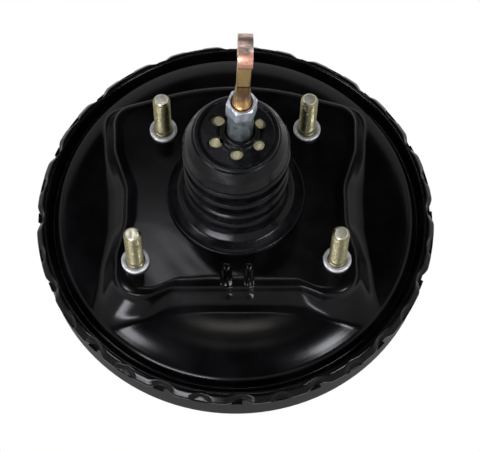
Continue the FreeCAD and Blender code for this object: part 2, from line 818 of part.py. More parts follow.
def make_valve_plunger():
    """Plunger with the air seat on its rim and the socket that holds the rod's ball."""
    rim = size["chamber_floor"] + size["vacuum_seat_height"] - size["fit_gap"]
    head = size["plunger_head_radius"]
    neck_top = -size["key_top"] + size["plunger_travel"] + size["fit_gap"] * 2
    neck_bottom = -size["key_top"] - size["key_thickness"] - size["plunger_travel"]
    mouth = size["ball_radius"] * 0.45
    body = turned("valve_plunger", [
        (0, -size["plunger_nose"]), (size["plunger_radius"] - 1, -size["plunger_nose"]),
        (size["plunger_radius"], 1 - size["plunger_nose"]),
        (size["plunger_radius"], neck_bottom), (size["plunger_neck_radius"], neck_bottom),
        (size["plunger_neck_radius"], neck_top), (size["plunger_radius"], neck_top),
        (size["plunger_radius"], -size["plunger_head_bottom"] - size["free_gap"] / 2),
        (head - 2.4, -size["plunger_head_bottom"]), (head, -size["plunger_head_bottom"]),
        (head, rim - 3), (size["air_seat_radius"] + 1.2, rim), (size["air_seat_radius"], rim),
        (size["socket_mouth_radius"], mouth), (0, mouth)])
    doc.recompute()
    socket = body.newObject("PartDesign::SubtractiveSphere", "rod_socket")
    bind_size(socket, "Radius", size["ball_radius"] + size["fit_gap"])
    return finish(body, "valve_plunger")


def make_poppet():
    """Rubber poppet that closes on both seats, held in the chamber by a pressed cup."""
    seat = size["chamber_floor"] + size["vacuum_seat_height"] + size["seat_gap"]
    top = size["poppet_top"]
    bore = size["chamber_radius"] - size["seat_gap"]
    face = seat + size["poppet_thickness"]
    tube = size["retainer_hole"] + 0.5
    finish(turned("poppet", [
        (size["poppet_hole"], seat), (size["poppet_disc"], seat),
        (size["poppet_disc"], face), (tube, face + 0.5), (tube, top - 2.2),
        (bore, top - 2.2), (bore, top), (tube - 1.5, top), (tube - 1.5, face),
        (size["poppet_hole"], face - 0.3)]), "poppet")
    cup = top + size["fit_gap"]
    wall = size["retainer_wall"]
    finish(turned("poppet_retainer", [
        (size["retainer_hole"], cup), (bore, cup, 0.8), (bore, cup + size["retainer_height"]),
        (bore - wall, cup + size["retainer_height"]), (bore - wall, cup + wall),
        (size["retainer_hole"], cup + wall)]), "poppet_retainer")


def make_spring(label, radius, wire, bottom, top):
    """A round-wire coil between two heights, as half rings that each climb half a pitch.

    Where two half rings meet they share one round section and one direction, so the wire
    runs on without a kink.
    """
    radius, wire, bottom, top = [Size.of(number) for number in (radius, wire, bottom, top)]
    count = 2 * TURNS[label]
    climb = (top - bottom - wire) / count
    ring = doc.addObject("Part::Torus", label + "_half_ring")
    bind_size(ring, "Radius1", radius)
    bind_size(ring, "Radius2", wire / 2)
    ring.Angle3 = 180
    ring.Placement = Placement(Vector(), Rotation(Vector(0, 1, 0), 1))
    bind(ring, "Placement.Rotation.Angle",
         Size(0, f"asin({climb.formula} / (2 * {radius.formula}))"))
    tilted = doc.addObject("Part::Compound", label + "_tilted")
    tilted.Links = [ring]
    halves = []
    for index in range(count):
        middle = bottom + wire / 2 + climb * (index + 0.5)
        half = doc.addObject("App::Link", f"{label}_half_{index + 1}")
        half.LinkedObject = tilted
        half.LinkPlacement = Placement(
            Vector(0, 0, middle.value), Rotation(Vector(0, 0, 1), 180 * (index % 2)))
        bind(half, "LinkPlacement.Base.z", middle)
        halves.append(half)
    return finish(fused(label, *halves), label)


def make_valve_springs():
    gap = size["seat_gap"]
    seat_under = size["spring_seat_height"] - size["free_gap"] - gap
    face = (size["chamber_floor"] + size["vacuum_seat_height"] + gap
            + size["poppet_thickness"] + gap)
    make_spring("poppet_spring", size["poppet_spring_radius"], size["poppet_spring_wire"],
                face, seat_under)
    floor = size["poppet_top"] + size["fit_gap"] + size["retainer_wall"] + gap
    make_spring("valve_return_spring", size["valve_spring_radius"], size["valve_spring_wire"],
                floor, seat_under)


def make_rod_spring_seat():
    """Dished washer on the input rod that both valve springs bear on."""
    under = size["spring_seat_height"]
    top = under + size["spring_seat_wall"]
    hole = size["rod_radius"] + size["free_gap"]
    body = turned("rod_spring_seat", [
        (hole, under + 1.2), (hole + 1.6, under + 1.2), (hole + 2.6, under),
        (size["spring_seat_radius"], under), (size["spring_seat_radius"], top, 0.4),
        (hole + 3.2, top), (hole + 2.2, top + 1.2), (hole, top + 1.2)])
    return finish(lean(body), "rod_spring_seat")


def make_filters():
    """Foam air filter and felt silencer inside the neck."""
    outer = size["chamber_radius"] - size["seat_gap"]
    finish(turned("air_filter", [
        (size["filter_hole"], size["filter_bottom"]), (outer, size["filter_bottom"]),
        (outer, size["filter_top"]), (size["filter_hole"], size["filter_top"])]), "air_filter")
    felt = size["filter_top"] + size["seat_gap"]
    hole = size["filter_hole"] + size["free_gap"]
    finish(turned("silencer_felt", [
        (hole, felt), (outer, felt), (outer, size["felt_top"]), (hole, size["felt_top"])]),
        "silencer_felt")


def make_input_rod():
    """Pedal-side rod: ball end, shank, collar over the spring seat and threaded top.

    The ball is a solid of its own, so that the rod can swing about two axes.
    """
    collar = size["spring_seat_height"] + size["spring_seat_wall"] + 1.2 + size["seat_gap"]
    radius = size["rod_radius"]
    ball = doc.addObject("PartDesign::Body", "rod_ball")
    sphere = ball.newObject("PartDesign::AdditiveSphere", "rod_ball_sphere")
    bind_size(sphere, "Radius", size["ball_radius"])
    finish(ball, "rod_ball")
    body = turned("input_rod", [
        (0, 0), (radius, 0), (radius, collar), (radius + 2, collar), (radius + 2, collar + 2),
        (radius, collar + 2), (radius, size["rod_top"] - 1), (radius - 1, size["rod_top"]),
        (0, size["rod_top"])])
    doc.recompute()
    hollow = body.newObject("PartDesign::SubtractiveSphere", "rod_foot_hollow")
    bind_size(hollow, "Radius", size["ball_radius"] + size["fit_gap"])
    return finish(lean(body), "input_rod")


def hexagon(across_flats):
    """Corners of a hexagon with a flat towards -Y."""
    reach = across_flats / math.sqrt(3)
    return [(reach * math.cos(math.radians(60 * i)), reach * math.sin(math.radians(60 * i)))
            for i in range(6)]


def make_adjuster_sleeve():
    """Coupling sleeve with a hex head, threaded on the rod and round the eye's shank."""
    radius = size["sleeve_radius"]
    bore = size["rod_radius"] + size["fit_gap"]
    mouth_floor = size["hex_top"] - size["hex_mouth_depth"]
    body = turned("adjuster_sleeve", [
        (bore, size["sleeve_bottom"]), (radius - 0.8, size["sleeve_bottom"]),
        (radius, size["sleeve_bottom"] + 0.8), (radius, size["hex_bottom"] + 1),
        (size["hex_mouth_radius"], size["hex_bottom"] + 1), (size["hex_mouth_radius"], mouth_floor),
        (bore, mouth_floor)])
    head = draw(sketch_on(body, "XY_Plane", "hex_outline", size["hex_bottom"]),
                hexagon(size["hex_across_flats"]))
    draw_circle(head, 0, 0, size["hex_mouth_radius"])
    block = body.newObject("PartDesign::Pad", "hex_head")
    block.Profile = head
    bind_size(block, "Length", size["hex_top"] - size["hex_bottom"])
    corner = size["hex_across_flats"] / math.sqrt(3)
    flat = size["hex_across_flats"] / 2
    rise = (corner - flat) * 0.58
    doc.recompute()
    for name, height, sign in (("hex_top", size["hex_top"], 1), ("hex_foot", size["hex_bottom"], -1)):
        wedge = draw(sketch_on(body, "XZ_Plane", name + "_chamfer_outline"), [
            (flat, height + sign * 0.01), (corner + 1, height + sign * 0.01),
            (corner + 1, height - sign * (rise + 0.58))])
        groove = body.newObject("PartDesign::Groove", name + "_chamfer")
        groove.Profile = wedge
        groove.ReferenceAxis = (wedge, ["V_Axis"])
        groove.Angle = 360
    return finish(lean(body), "adjuster_sleeve")


def make_rod_eye():
    """Rod end: threaded shank, domed shoulder, round neck forged flat into an eye."""
    shank = size["rod_radius"]
    shoulder = size["hex_mouth_radius"] - 0.25
    neck = size["eye_neck_radius"]
    floor = size["hex_top"] - size["hex_mouth_depth"]
    body = turned("rod_eye", [
        (0, size["eye_shank_bottom"]), (shank - 0.8, size["eye_shank_bottom"]),
        (shank, size["eye_shank_bottom"] + 0.8), (shank, floor + 2),
        (shoulder, floor + 3.2, 0.6), (shoulder, size["hex_top"], 1.4),
        (neck, size["hex_top"] + 1.6), (neck, size["eye_neck_top"]), (0, size["eye_neck_top"])])
    half_x = size["eye_bar_thickness"] / 2
    half_y = size["eye_bar_width"] / 2
    circle = sketch_on(body, "XY_Plane", "eye_neck_circle", size["eye_neck_top"])
    draw_circle(circle, 0, 0, neck)
    square = sketch_on(body, "XY_Plane", "eye_bar_section", size["eye_blend_top"])
    draw(square, [(half_x, -half_y, 1), (half_x, half_y, 1), (-half_x, half_y, 1),
                  (-half_x, -half_y, 1)])
    blend = body.newObject("PartDesign::AdditiveLoft", "eye_blend")
    blend.Profile = circle
    blend.Sections = [square]
    doc.recompute()
    bar = body.newObject("PartDesign::Pad", "eye_bar")
    bar.Profile = square
    bind_size(bar, "Length", size["eye_step_height"] - size["eye_blend_top"])
    thick = sketch_on(body, "YZ_Plane", "eye_outline")
    centre = size["eye_centre_height"]
    eye = size["eye_radius"]
    draw(thick, [(-half_y, size["eye_step_height"]), (half_y, size["eye_step_height"]),
                 (half_y, centre - eye, 4), (eye, centre - eye * 0.5, 4),
                 (eye, centre + eye, eye - 0.01), (-eye, centre + eye, eye - 0.01),
                 (-eye, centre - eye * 0.5, 4), (-half_y, centre - eye, 4)])
    plate = body.newObject("PartDesign::Pad", "eye_plate")
    plate.Profile = thick
    plate.SideType = "Symmetric"
    bind_size(plate, "Length", size["eye_thickness"])
    doc.recompute()
    hole = sketch_on(body, "YZ_Plane", "eye_hole_circle")
    draw_circle(hole, 0, centre, size["eye_hole_radius"])
    pocket_through(body, hole, "eye_hole")
    return finish(lean(body), "rod_eye")


def make_dust_boot():
    """Rubber boot from the plateau to the coupling sleeve, with its ring of air holes."""
    wall = size["boot_wall"]
    outer, groove = size["boot_radius"], size["boot_groove_radius"]
    path = [(size["boot_flange_radius"], wall), (size["boot_flare_radius"], wall + 1.6, 2.5),
            (outer + 1.2, size["boot_flare_height"], 3)]
    for number in range(4):
        height = size["boot_lowest_groove"] + size["boot_groove_pitch"] * number
        path += [(outer, height - 3.4, 1.6), (groove, height, 1.8), (outer, height + 3.4, 1.6)]
    path += [(outer, size["boot_shoulder_height"], 5),
             (size["boot_top_radius"] + 2.4, size["boot_top"], 3), (2, size["boot_top"])]
    sleeve = pressed("boot_skin", path, wall)
    flange = turned("boot_flange", [
        (size["boot_flare_radius"] - 2, 0), (size["boot_flange_radius"], 0),
        (size["boot_flange_radius"], size["boot_flange_height"], 1),
        (size["boot_flare_radius"] - 2, size["boot_flange_height"])])
    lip = size["boot_lip_radius"]
    bore = size["sleeve_radius"] + size["free_gap"]
    hole = lean(turned("boot_neck_cutter", [
        (0, size["boot_lip_bottom"] - 6), (bore + 0.8, size["boot_lip_bottom"] - 6),
        (bore + 0.8, size["boot_lip_top"] + 6), (0, size["boot_lip_top"] + 6)]))
    ring = lean(turned("boot_lip", [
        (bore, size["boot_lip_bottom"]), (lip, size["boot_lip_bottom"]),
        (lip, size["boot_lip_top"] - 2), (lip - 0.8, size["boot_lip_top"]),
        (bore, size["boot_lip_top"])]))
    skin = cut_away(fused("boot_with_flange", sleeve, flange), hole, "boot_open")
    body = body_from(fused("boot_with_lip", skin, ring), "dust_boot")
    top = sketch_on(body, "XY_Plane", "air_hole_circles", size["boot_top"] + 3)
    middle = size["boot_top"] * math.tan(math.radians(SIZES["rod_lean"])) / 2
    for number in range(6):
        angle = math.radians(30 + 60 * number + SIZES["air_hole_turn"])
        draw_circle(top, middle + size["air_hole_circle"] * math.cos(angle),
                    size["air_hole_circle"] * math.sin(angle), size["air_hole_radius"])
    holes = body.newObject("PartDesign::Pocket", "air_holes")
    holes.Profile = top
    holes.Length = 8
    return finish(body, "dust_boot")


def plate_path(lift):
    """Rear face of the piston plate, or of what lies on it at an even distance above.

    Bends that bulge outwards grow by the distance and hollow ones shrink by it.
    """
    flat = -size["flange_top"] + size["plate_wall"]
    crown = flat + size["plate_crown_rise"]
    return [
        (size["plate_flat_radius"], flat + lift, 5 - lift),
        (size["plate_crown_radius"], crown + lift, 5 + lift),
        (size["plate_hip_radius"], crown - 3 + lift, 6 + lift),
        (size["plate_shoulder_radius"] + lift / 2, flat - size["plate_shoulder_drop"] + lift,
         6 + lift),
    ]


def make_piston_plate():
    flat = -size["flange_top"] + size["plate_wall"]
    path = [(size["neck_radius"] + size["seat_gap"], flat)] + plate_path(Size(0))
    path += [(size["plate_radius"], -size["plate_rim_depth"] + 2, 3),
             (size["plate_radius"], -size["plate_rim_depth"])]
    finish(pressed("diaphragm_plate", path, -size["plate_wall"]), "diaphragm_plate")


def make_diaphragm():
    """Rubber diaphragm over the plate, rolled at the wall, with its bead in the rim."""
    wall = size["rubber_wall"]
    lift = wall + size["free_gap"]
    flat = -size["flange_top"] + size["plate_wall"] + lift
    edge = size["plate_radius"] + lift
    wall_side = size["bead_outer"] - wall
    roll = -size["roll_depth"]
    path = [(size["neck_radius"] + size["seat_gap"], flat)] + plate_path(lift)
    path += [(edge, -size["plate_rim_depth"] + 2, 3 + lift), (edge, roll, 4), (wall_side, roll, 4), (wall_side, -size["bead_bottom"])]
    skin = pressed("diaphragm_skin", path, -wall)
    leg_foot = size["rim_channel_outer"] + size["rear_wall"] * 0.7 + size["seat_gap"] * 2
    leg_top = size["rim_top_radius"] + size["rear_wall"] * 0.875 + size["seat_gap"]
    bead = turned("diaphragm_bead", [
        (leg_foot + 0.6, -size["bead_bottom"]), (size["bead_outer"], -size["bead_bottom"]),
        (size["bead_outer"], -size["bead_top"]), (leg_top - 0.4, -size["bead_top"])])
    inner = turned("diaphragm_inner_bead", [
        (size["neck_radius"] + size["seat_gap"], flat - wall / 2),
        (size["neck_radius"] + 2.6, flat - wall / 2), (size["neck_radius"] + 2.6, flat + 2.4, 1),
        (size["neck_radius"] + size["seat_gap"], flat + 2.4)])
    finish(fused("diaphragm", skin, bead, inner), "diaphragm")


def make_output_side():
    """Reaction disc, output rod, its adjusting screw and the cup that holds its head."""
    gap = size["seat_gap"]
    finish(turned("reaction_disc", [
        (0, -size["disc_bottom"]), (size["output_head_radius"], -size["disc_bottom"]),
        (size["output_head_radius"], -size["reaction_top"] - gap),
        (0, -size["reaction_top"] - gap)]), "reaction_disc")
    head = -size["disc_bottom"] - gap
    rod = size["output_rod_radius"]
    screw = size["output_screw_radius"]
    bottom = -size["output_rod_end"]
    depth = bottom + 18
    finish(turned("output_rod", [
        (screw + size["fit_gap"], bottom), (rod - 0.6, bottom), (rod, bottom + 0.6),
        (rod, -size["hub_front"] - 4, 2), (rod + 2.4, -size["hub_front"]),
        (size["output_head_radius"], -size["hub_front"]),
        (size["output_head_radius"], head), (0, head), (0, depth),
        (screw + size["fit_gap"], depth)]), "output_rod")
    tip = -size["output_screw_end"]
    body = turned("output_rod_screw", [
        (0, depth - 1), (screw, depth - 1), (screw, bottom - gap), (screw, tip + 1.4, 1.2),
        (0, tip)][::-1])
    head_sketch = draw(sketch_on(body, "XY_Plane", "screw_hex_outline", bottom - gap),
                       hexagon(size["screw_hex"]))
    block = body.newObject("PartDesign::Pad", "screw_hex_head")
    block.Profile = head_sketch
    block.Reversed = True
    bind_size(block, "Length", size["screw_head_height"])
    finish(body, "output_rod_screw")
    wall = size["output_retainer_wall"]
    bore = size["hub_radius"] + size["fit_gap"]
    face = -size["hub_front"] - size["fit_gap"]
    finish(turned("output_rod_retainer", [
        (rod + 3.5, face - wall), (bore + wall, face - wall, 0.8), (bore + wall, face + 5),
        (bore, face + 5), (bore, face), (rod + 3.5, face)]), "output_rod_retainer")


def make_return_spring():
    gap = size["seat_gap"]
    plate_top = -size["front_face_depth"] + size["front_wall"] + size["front_plate_wall"]
    make_spring("return_spring", size["return_spring_radius"], size["return_spring_wire"],
                plate_top + gap, -size["flange_bottom"] - gap)


def make_front_end():
    """Plate inside the nose, its two studs, and the seal round the output rod."""
    inner = -size["front_face_depth"] + size["front_wall"]
    top = inner + size["front_plate_wall"]
    bore = size["front_bore"]
    stud = size["master_stud_radius"]
    shank = size["master_shank_radius"]
    plate = turned("front_stud_plate", [
        (bore + size["fit_gap"], inner), (size["front_plate_radius"] - 1, inner),
        (size["front_plate_radius"], inner + 1), (size["front_plate_radius"], top),
        (bore + size["fit_gap"], top)])
    drill_through(plate, "front_plate_holes",
                  [(-size["master_stud_x"], 0), (size["master_stud_x"], 0)],
                  shank + size["fit_gap"])
    finish(plate, "front_stud_plate")
    reach = -size["front_face_depth"] - size["master_stud_reach"]
    foot = -size["front_face_depth"] - size["master_shank_reach"]
    master = turned("master_cylinder_stud", [
        (0, reach), (stud - 1, reach), (stud, reach + 1), (stud, foot - shank + stud),
        (shank, foot), (shank, top), (stud + 3, top),
        (stud + 3, top + 2.4), (stud + 2.2, top + 3.2), (0, top + 3.2)])
    set_at("master_cylinder_studs", master,
           [(-size["master_stud_x"], 0, 0), (size["master_stud_x"], 0, 0)])
    rod = size["output_rod_radius"] + size["fit_gap"]
    seal_bottom = -size["front_face_depth"] + 0.5
    seal_top = top - size["seat_gap"]
    finish(turned("front_seal", [
        (rod + 1.2, seal_bottom), (bore - size["seat_gap"], seal_bottom),
        (bore - size["seat_gap"], seal_top), (rod + 1.2, seal_top),
        (rod, seal_top - 1.6), (rod, seal_top - 2.6)]), "front_seal")
    finish(turned("front_seal_retainer", [
        (rod + 3, top + size["fit_gap"]), (bore + 6, top + size["fit_gap"]),
        (bore + 6, top + 1.2), (rod + 4, top + 1.2), (rod + 3, top + 2.2)]),
        "front_seal_retainer")


def at_valve(body):
    """Stand a turned piece of the check valve on its hole in the front shell."""
    spot = [size["valve_x"], size["valve_y"], -size["front_step_depth"]]
    body.Placement = Placement(Vector(*[s.value for s in spot]), Rotation())
    for axis, number in zip("xyz", spot):
        bind(body, "Placement.Base." + axis, number)
    return body


def make_check_valve():
    """Grommet, valve body, hose nipple, rubber disc and spring of the vacuum inlet."""
    gap = size["fit_gap"]
    wall = size["front_wall"]
    hole = size["grommet_hole"]
    outer = size["grommet_radius"]
    stem = hole - 2.6
    finish(at_valve(turned("check_valve_grommet", [
        (stem + gap, -2.4), (outer, -2.4, 0.8), (outer, -gap), (hole - gap, -gap),
        (hole - gap, wall + gap), (outer - 1, wall + gap), (outer - 2.4, wall + 2.6),
        (stem + gap, wall + 2.6)])), "check_valve_grommet")
    radius = size["valve_radius"]
    chamber = size["valve_chamber_radius"]
    under = Size(-2.4) - gap
    foot = under - size["valve_depth"]
    roof = under - 1.4
    port = size["valve_hose_bore"] + 0.4
    finish(at_valve(turned("check_valve_body", [
        (port, wall + 4), (stem, wall + 4), (stem, under), (radius + 1.6, under),
        (radius + 1.6, under - 2, 0.6), (radius, under - 2.6), (radius, foot),
        (chamber, foot), (chamber, roof), (port, roof)][::-1])), "check_valve_body")
    hose = size["valve_hose_radius"]
    bore = size["valve_hose_bore"]
    end = foot - size["hose_reach"]
    nipple = [(bore, end), (hose - 0.8, end), (hose + 0.6, end + 3.2), (hose - 0.5, end + 3.2),
              (hose - 0.5, end + 6.4), (hose + 0.6, end + 9.6), (hose - 0.5, end + 9.6),
              (hose - 0.5, foot - 2.6), (radius, foot - 2.6, 0.6), (radius, foot - gap),
              (chamber - gap, foot - gap), (chamber - gap, foot + 1.2), (bore, foot + 1.2)]
    finish(at_valve(turned("check_valve_nipple", nipple)), "check_valve_nipple")
    disc = chamber - size["free_gap"]
    disc_top = roof - size["seat_gap"]
    finish(at_valve(turned("check_valve_disc", [
        (0, disc_top - 2), (disc - 0.4, disc_top - 2), (disc, disc_top - 1.6),
        (disc, disc_top), (0, disc_top)])), "check_valve_disc")
    coil = make_spring("check_valve_spring", chamber - 1.6, 0.9, foot + 1.2 + size["seat_gap"],
                       disc_top - 2 - size["seat_gap"])
    at_valve(coil)


def check_document():
    """Stop if any feature failed or any sub-part isn't a sound solid."""
    for thing in doc.Objects:
        if "Invalid" in thing.State or "Error" in thing.State:
            raise RuntimeError(f"{thing.Name} failed: {thing.State}")
    for thing in finished:
        if thing.Shape.isNull() or not thing.Shape.isValid() or not thing.Shape.Solids:
            raise RuntimeError(f"{thing.Label} is not a valid solid")


make_mounting_studs()
make_stud_collars()
make_rear_shell()
make_rear_stud_plate()
make_guide_seal()
make_front_shell()
make_valve_body()
make_stop_key()
make_valve_plunger()
make_poppet()
make_valve_springs()
make_rod_spring_seat()
make_filters()
make_input_rod()
make_adjuster_sleeve()
make_rod_eye()
make_dust_boot()
make_piston_plate()
make_diaphragm()
make_output_side()
make_return_spring()
make_front_end()
make_check_valve()

doc.recompute()
check_document()

os.makedirs("parts", exist_ok=True)
for part in finished:
    part.Shape.exportStep(os.path.join("parts", part.Label + ".step"))
    print(part.Label, len(part.Shape.Solids), round(part.Shape.Volume / 1000, 3), "cm3")
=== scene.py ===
# %% [markdown]
# # A brake booster, seen from the pedal side
#
# A vacuum brake booster is a flat steel drum that helps the driver's foot. Two pressed shells are
# clamped together at a lobed rim. Four studs hold the drum to the bulkhead, and a rod with a
# flat eye comes out through a rubber boot to meet the pedal. The pieces and their joints come from
# a imported CAD model. This script gives every piece its finish, and makes anew those that the CAD
# model keeps plain: the pressed rear shell, the studs and their collars, the boot, the coupling,
# the rod's eye and the felt. The springs are copied as they are.

import json
import math

import bmesh
import bpy
import numpy as np
from mathutils import Matrix, Vector


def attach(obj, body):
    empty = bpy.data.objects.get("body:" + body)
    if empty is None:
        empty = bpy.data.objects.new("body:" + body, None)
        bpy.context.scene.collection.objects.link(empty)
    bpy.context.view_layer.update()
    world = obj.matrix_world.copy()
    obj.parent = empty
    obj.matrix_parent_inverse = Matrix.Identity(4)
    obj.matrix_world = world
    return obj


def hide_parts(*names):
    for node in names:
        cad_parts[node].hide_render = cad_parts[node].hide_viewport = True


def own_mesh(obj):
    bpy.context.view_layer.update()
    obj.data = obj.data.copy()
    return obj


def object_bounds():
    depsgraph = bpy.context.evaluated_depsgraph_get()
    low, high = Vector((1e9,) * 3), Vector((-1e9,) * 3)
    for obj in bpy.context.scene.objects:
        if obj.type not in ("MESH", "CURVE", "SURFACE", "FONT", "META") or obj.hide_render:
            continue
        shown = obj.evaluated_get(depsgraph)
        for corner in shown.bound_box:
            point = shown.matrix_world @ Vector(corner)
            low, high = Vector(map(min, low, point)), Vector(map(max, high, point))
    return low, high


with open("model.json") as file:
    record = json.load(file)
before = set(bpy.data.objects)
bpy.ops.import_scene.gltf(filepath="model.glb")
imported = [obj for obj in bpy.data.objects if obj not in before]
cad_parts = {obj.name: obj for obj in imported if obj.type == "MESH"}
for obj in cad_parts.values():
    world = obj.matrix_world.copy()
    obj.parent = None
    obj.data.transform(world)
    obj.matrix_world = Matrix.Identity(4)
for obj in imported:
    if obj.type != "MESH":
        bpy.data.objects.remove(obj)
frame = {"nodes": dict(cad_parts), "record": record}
cad_low, cad_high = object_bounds()
MM = 0.001
print("CAD nodes:", len(frame["nodes"]))

# %% [markdown]
# ## Two small helpers
#
# Blender keeps data, such as a mesh or a lamp, apart from the object that shows it, so each new
# piece needs both. And a modifier only promises a shape: the finished mesh has to be asked for and
# put in place of the first one before the piece is handed on.

# %% Add objects and keep what modifiers make
def add_object(name, data):
    """Show a mesh, a lamp or a camera in the scene."""
    thing = bpy.data.objects.new(name, data)
    bpy.context.scene.collection.objects.link(thing)
    return thing


def keep_result(thing):
    """Put what the modifiers make in place of a piece's mesh, and drop the modifiers."""
    view = bpy.context.evaluated_depsgraph_get()
    mesh = bpy.data.meshes.new_from_object(thing.evaluated_get(view))
    thing.modifiers.clear()
    thing.data = mesh


print("add_object and keep_result are ready")

# %% [markdown]
# ## Numbers that wire themselves
#
# Node trees are drawn by hand in Blender, but a long sum is easier to read as a sum. This class
# wraps one socket of a tree. Adding or multiplying two of them puts a Math node into the tree and
# wires it up, so the same few lines serve materials and geometry nodes alike.

# %% A socket that does sums
class Number:
    def __init__(self, tree, socket):
        self.tree, self.socket = tree, socket

    def math(self, operation, *others):
        node = self.tree.nodes.new("ShaderNodeMath")
        node.operation = operation
        for place, value in enumerate((self,) + others):
            plug(self.tree, value, node.inputs[place])
        return Number(self.tree, node.outputs[0])

    def __add__(self, other):
        return self.math("ADD", other)

    def __sub__(self, other):
        return self.math("SUBTRACT", other)

    def __mul__(self, other):
        return self.math("MULTIPLY", other)

    def __truediv__(self, other):
        return self.math("DIVIDE", other)

    def __neg__(self):
        return self.math("MULTIPLY", -1.0)

    def __radd__(self, other):
        return self + other

    def __rmul__(self, other):
        return self * other

    def __rsub__(self, other):
        return (-self) + other

    def clamped(self):
        return self.math("MAXIMUM", 0.0).math("MINIMUM", 1.0)

    def smooth(self, low, high):
        """0 below low, 1 above high and an even curve in between."""
        node = self.tree.nodes.new("ShaderNodeMapRange")
        node.interpolation_type = "SMOOTHSTEP"
        for name, value in (("Value", self), ("From Min", low), ("From Max", high)):
            plug(self.tree, value, node.inputs[name])
        return Number(self.tree, node.outputs["Result"])


def plug(tree, value, socket):
    """Wire a value into a socket, or set it there if it is plain."""
    if isinstance(value, Number):
        tree.links.new(value.socket, socket)
    elif isinstance(value, bpy.types.NodeSocket):
        tree.links.new(value, socket)
    else:
        socket.default_value = value


def add_node(tree, kind, settings=None, **inputs):
    """Any node: its kind, its settings, and its inputs with _ for a space in a name."""
    node = tree.nodes.new(kind)
    for name, value in (settings or {}).items():
        setattr(node, name, value)
    for name, value in inputs.items():
        plug(tree, value, node.inputs[name.replace("_", " ")])
    return node


print("Number and add_node are ready")

# %% [markdown]
# ## Finishes
#
# One small class holds the material's tree. Grain, dust and dents all come from noise that is
# laid on the object's own coordinates, so it stays on the piece when the piece moves. Sizes of
# grain are given in millimetres, because that is how one would measure them on the real thing.

# %% A finish with grain
class Finish:
    def __init__(self, name):
        self.material = bpy.data.materials.new(name)
        self.material.use_nodes = True
        self.tree = self.material.node_tree
        self.shader = self.tree.nodes["Principled BSDF"]
        self.place = self.tree.nodes.new("ShaderNodeTexCoord").outputs["Object"]

    def noise(self, grain, detail, roughness=0.5):
        """Cloudy noise from 0 to 1, with its blobs about one grain in mm across."""
        node = add_node(self.tree, "ShaderNodeTexNoise", Vector=self.place,
                        Scale=1 / (grain * MM), Detail=detail, Roughness=roughness)
        return Number(self.tree, node.outputs["Fac"])

    def mix(self, share, first, second):
        """A colour between two colours."""
        node = self.tree.nodes.new("ShaderNodeMix")
        node.data_type = "RGBA"
        plug(self.tree, share, node.inputs["Factor"])
        for socket, colour in ((node.inputs[6], first), (node.inputs[7], second)):
            plain = not isinstance(colour, bpy.types.NodeSocket)
            plug(self.tree, tuple(colour) + (1,) if plain else colour, socket)
        return node.outputs[2]

    def relief(self, height, depth, under=None):
        """Bumps that stand depth millimetres high where height is 1."""
        node = add_node(self.tree, "ShaderNodeBump", Height=height, Distance=depth * MM)
        if under is not None:
            self.tree.links.new(under, node.inputs["Normal"])
        return node.outputs[0]

    def set(self, **inputs):
        for name, value in inputs.items():
            plug(self.tree, value, self.shader.inputs[name.replace("_", " ")])
        return self


print("Finish is ready")

# %% [markdown]
# ## Black paint
#
# The shells are dipped in black paint, which dries to a deep gloss with a faint orange peel.
# Handling leaves a haze of fine dust that lifts the black a little in patches. Two sizes of
# noise do this: a broad one for the haze, in colour and roughness, and a fine one for the peel.

# %% Paint the shells
CLEAN_BLACK, DUSTY_BLACK = (0.0006, 0.0006, 0.0007), (0.010, 0.010, 0.012)


def black_paint(name, peel, haze, roughness, specular):
    """Black paint. Peel is the height of its bumps in mm, and haze the share of dust on it."""
    finish = Finish(name)
    clouds = finish.noise(grain=26, detail=4.0)
    specks = finish.noise(grain=0.9, detail=1.0).smooth(0.66, 0.74)
    dust = (clouds.smooth(0.35, 0.75) * haze + specks * haze * 0.6).clamped()
    finish.set(Base_Color=finish.mix(dust, CLEAN_BLACK, DUSTY_BLACK),
               Roughness=clouds * 0.08 + roughness, Specular_IOR_Level=specular,
               Normal=finish.relief(finish.noise(grain=2.6, detail=1.5), peel))
    return finish.material


shell_paint = black_paint("Black dipped paint", peel=0.006, haze=0.22, roughness=0.15,
                          specular=0.11)
drum_paint = black_paint("Black paint on the drum wall", peel=0.03, haze=0.5, roughness=0.42,
                         specular=0.06)
print("Paint:", shell_paint.name, drum_paint.name)

# %% [markdown]
# ## Rubber
#
# Moulded rubber is never quite clean: it blooms to a grey film and holds dust. It is softer in
# shine than paint, and its skin has a fine leathery grain.

# %% Mix the rubbers
def rubber(name, dark, bloomed, roughness, leather, specular=0.12):
    """Rubber between a dark and a bloomed colour. Leather is the height of its grain in mm."""
    finish = Finish(name)
    clouds = finish.noise(grain=14, detail=5.0, roughness=0.65)
    lint = finish.noise(grain=0.7, detail=2.0).smooth(0.62, 0.80)
    bloom = (clouds.smooth(0.30, 0.75) * 0.75 + lint * 0.4).clamped()
    skin = finish.relief(finish.noise(grain=0.8, detail=3.0), leather)
    skin = finish.relief(finish.noise(grain=9, detail=2.0), leather * 6, under=skin)
    finish.set(Base_Color=finish.mix(bloom, dark, bloomed), Roughness=bloom * 0.14 + roughness,
               Specular_IOR_Level=specular, Normal=skin)
    return finish.material


boot_rubber = rubber("Dusty boot rubber", dark=(0.0008, 0.0008, 0.0010),
                     bloomed=(0.0055, 0.0055, 0.0066), roughness=0.21, leather=0.020)
seal_rubber = rubber("Seal rubber", dark=(0.004, 0.004, 0.004), bloomed=(0.010, 0.010, 0.011),
                     roughness=0.50, leather=0.010)
print("Rubber:", boot_rubber.name, seal_rubber.name)
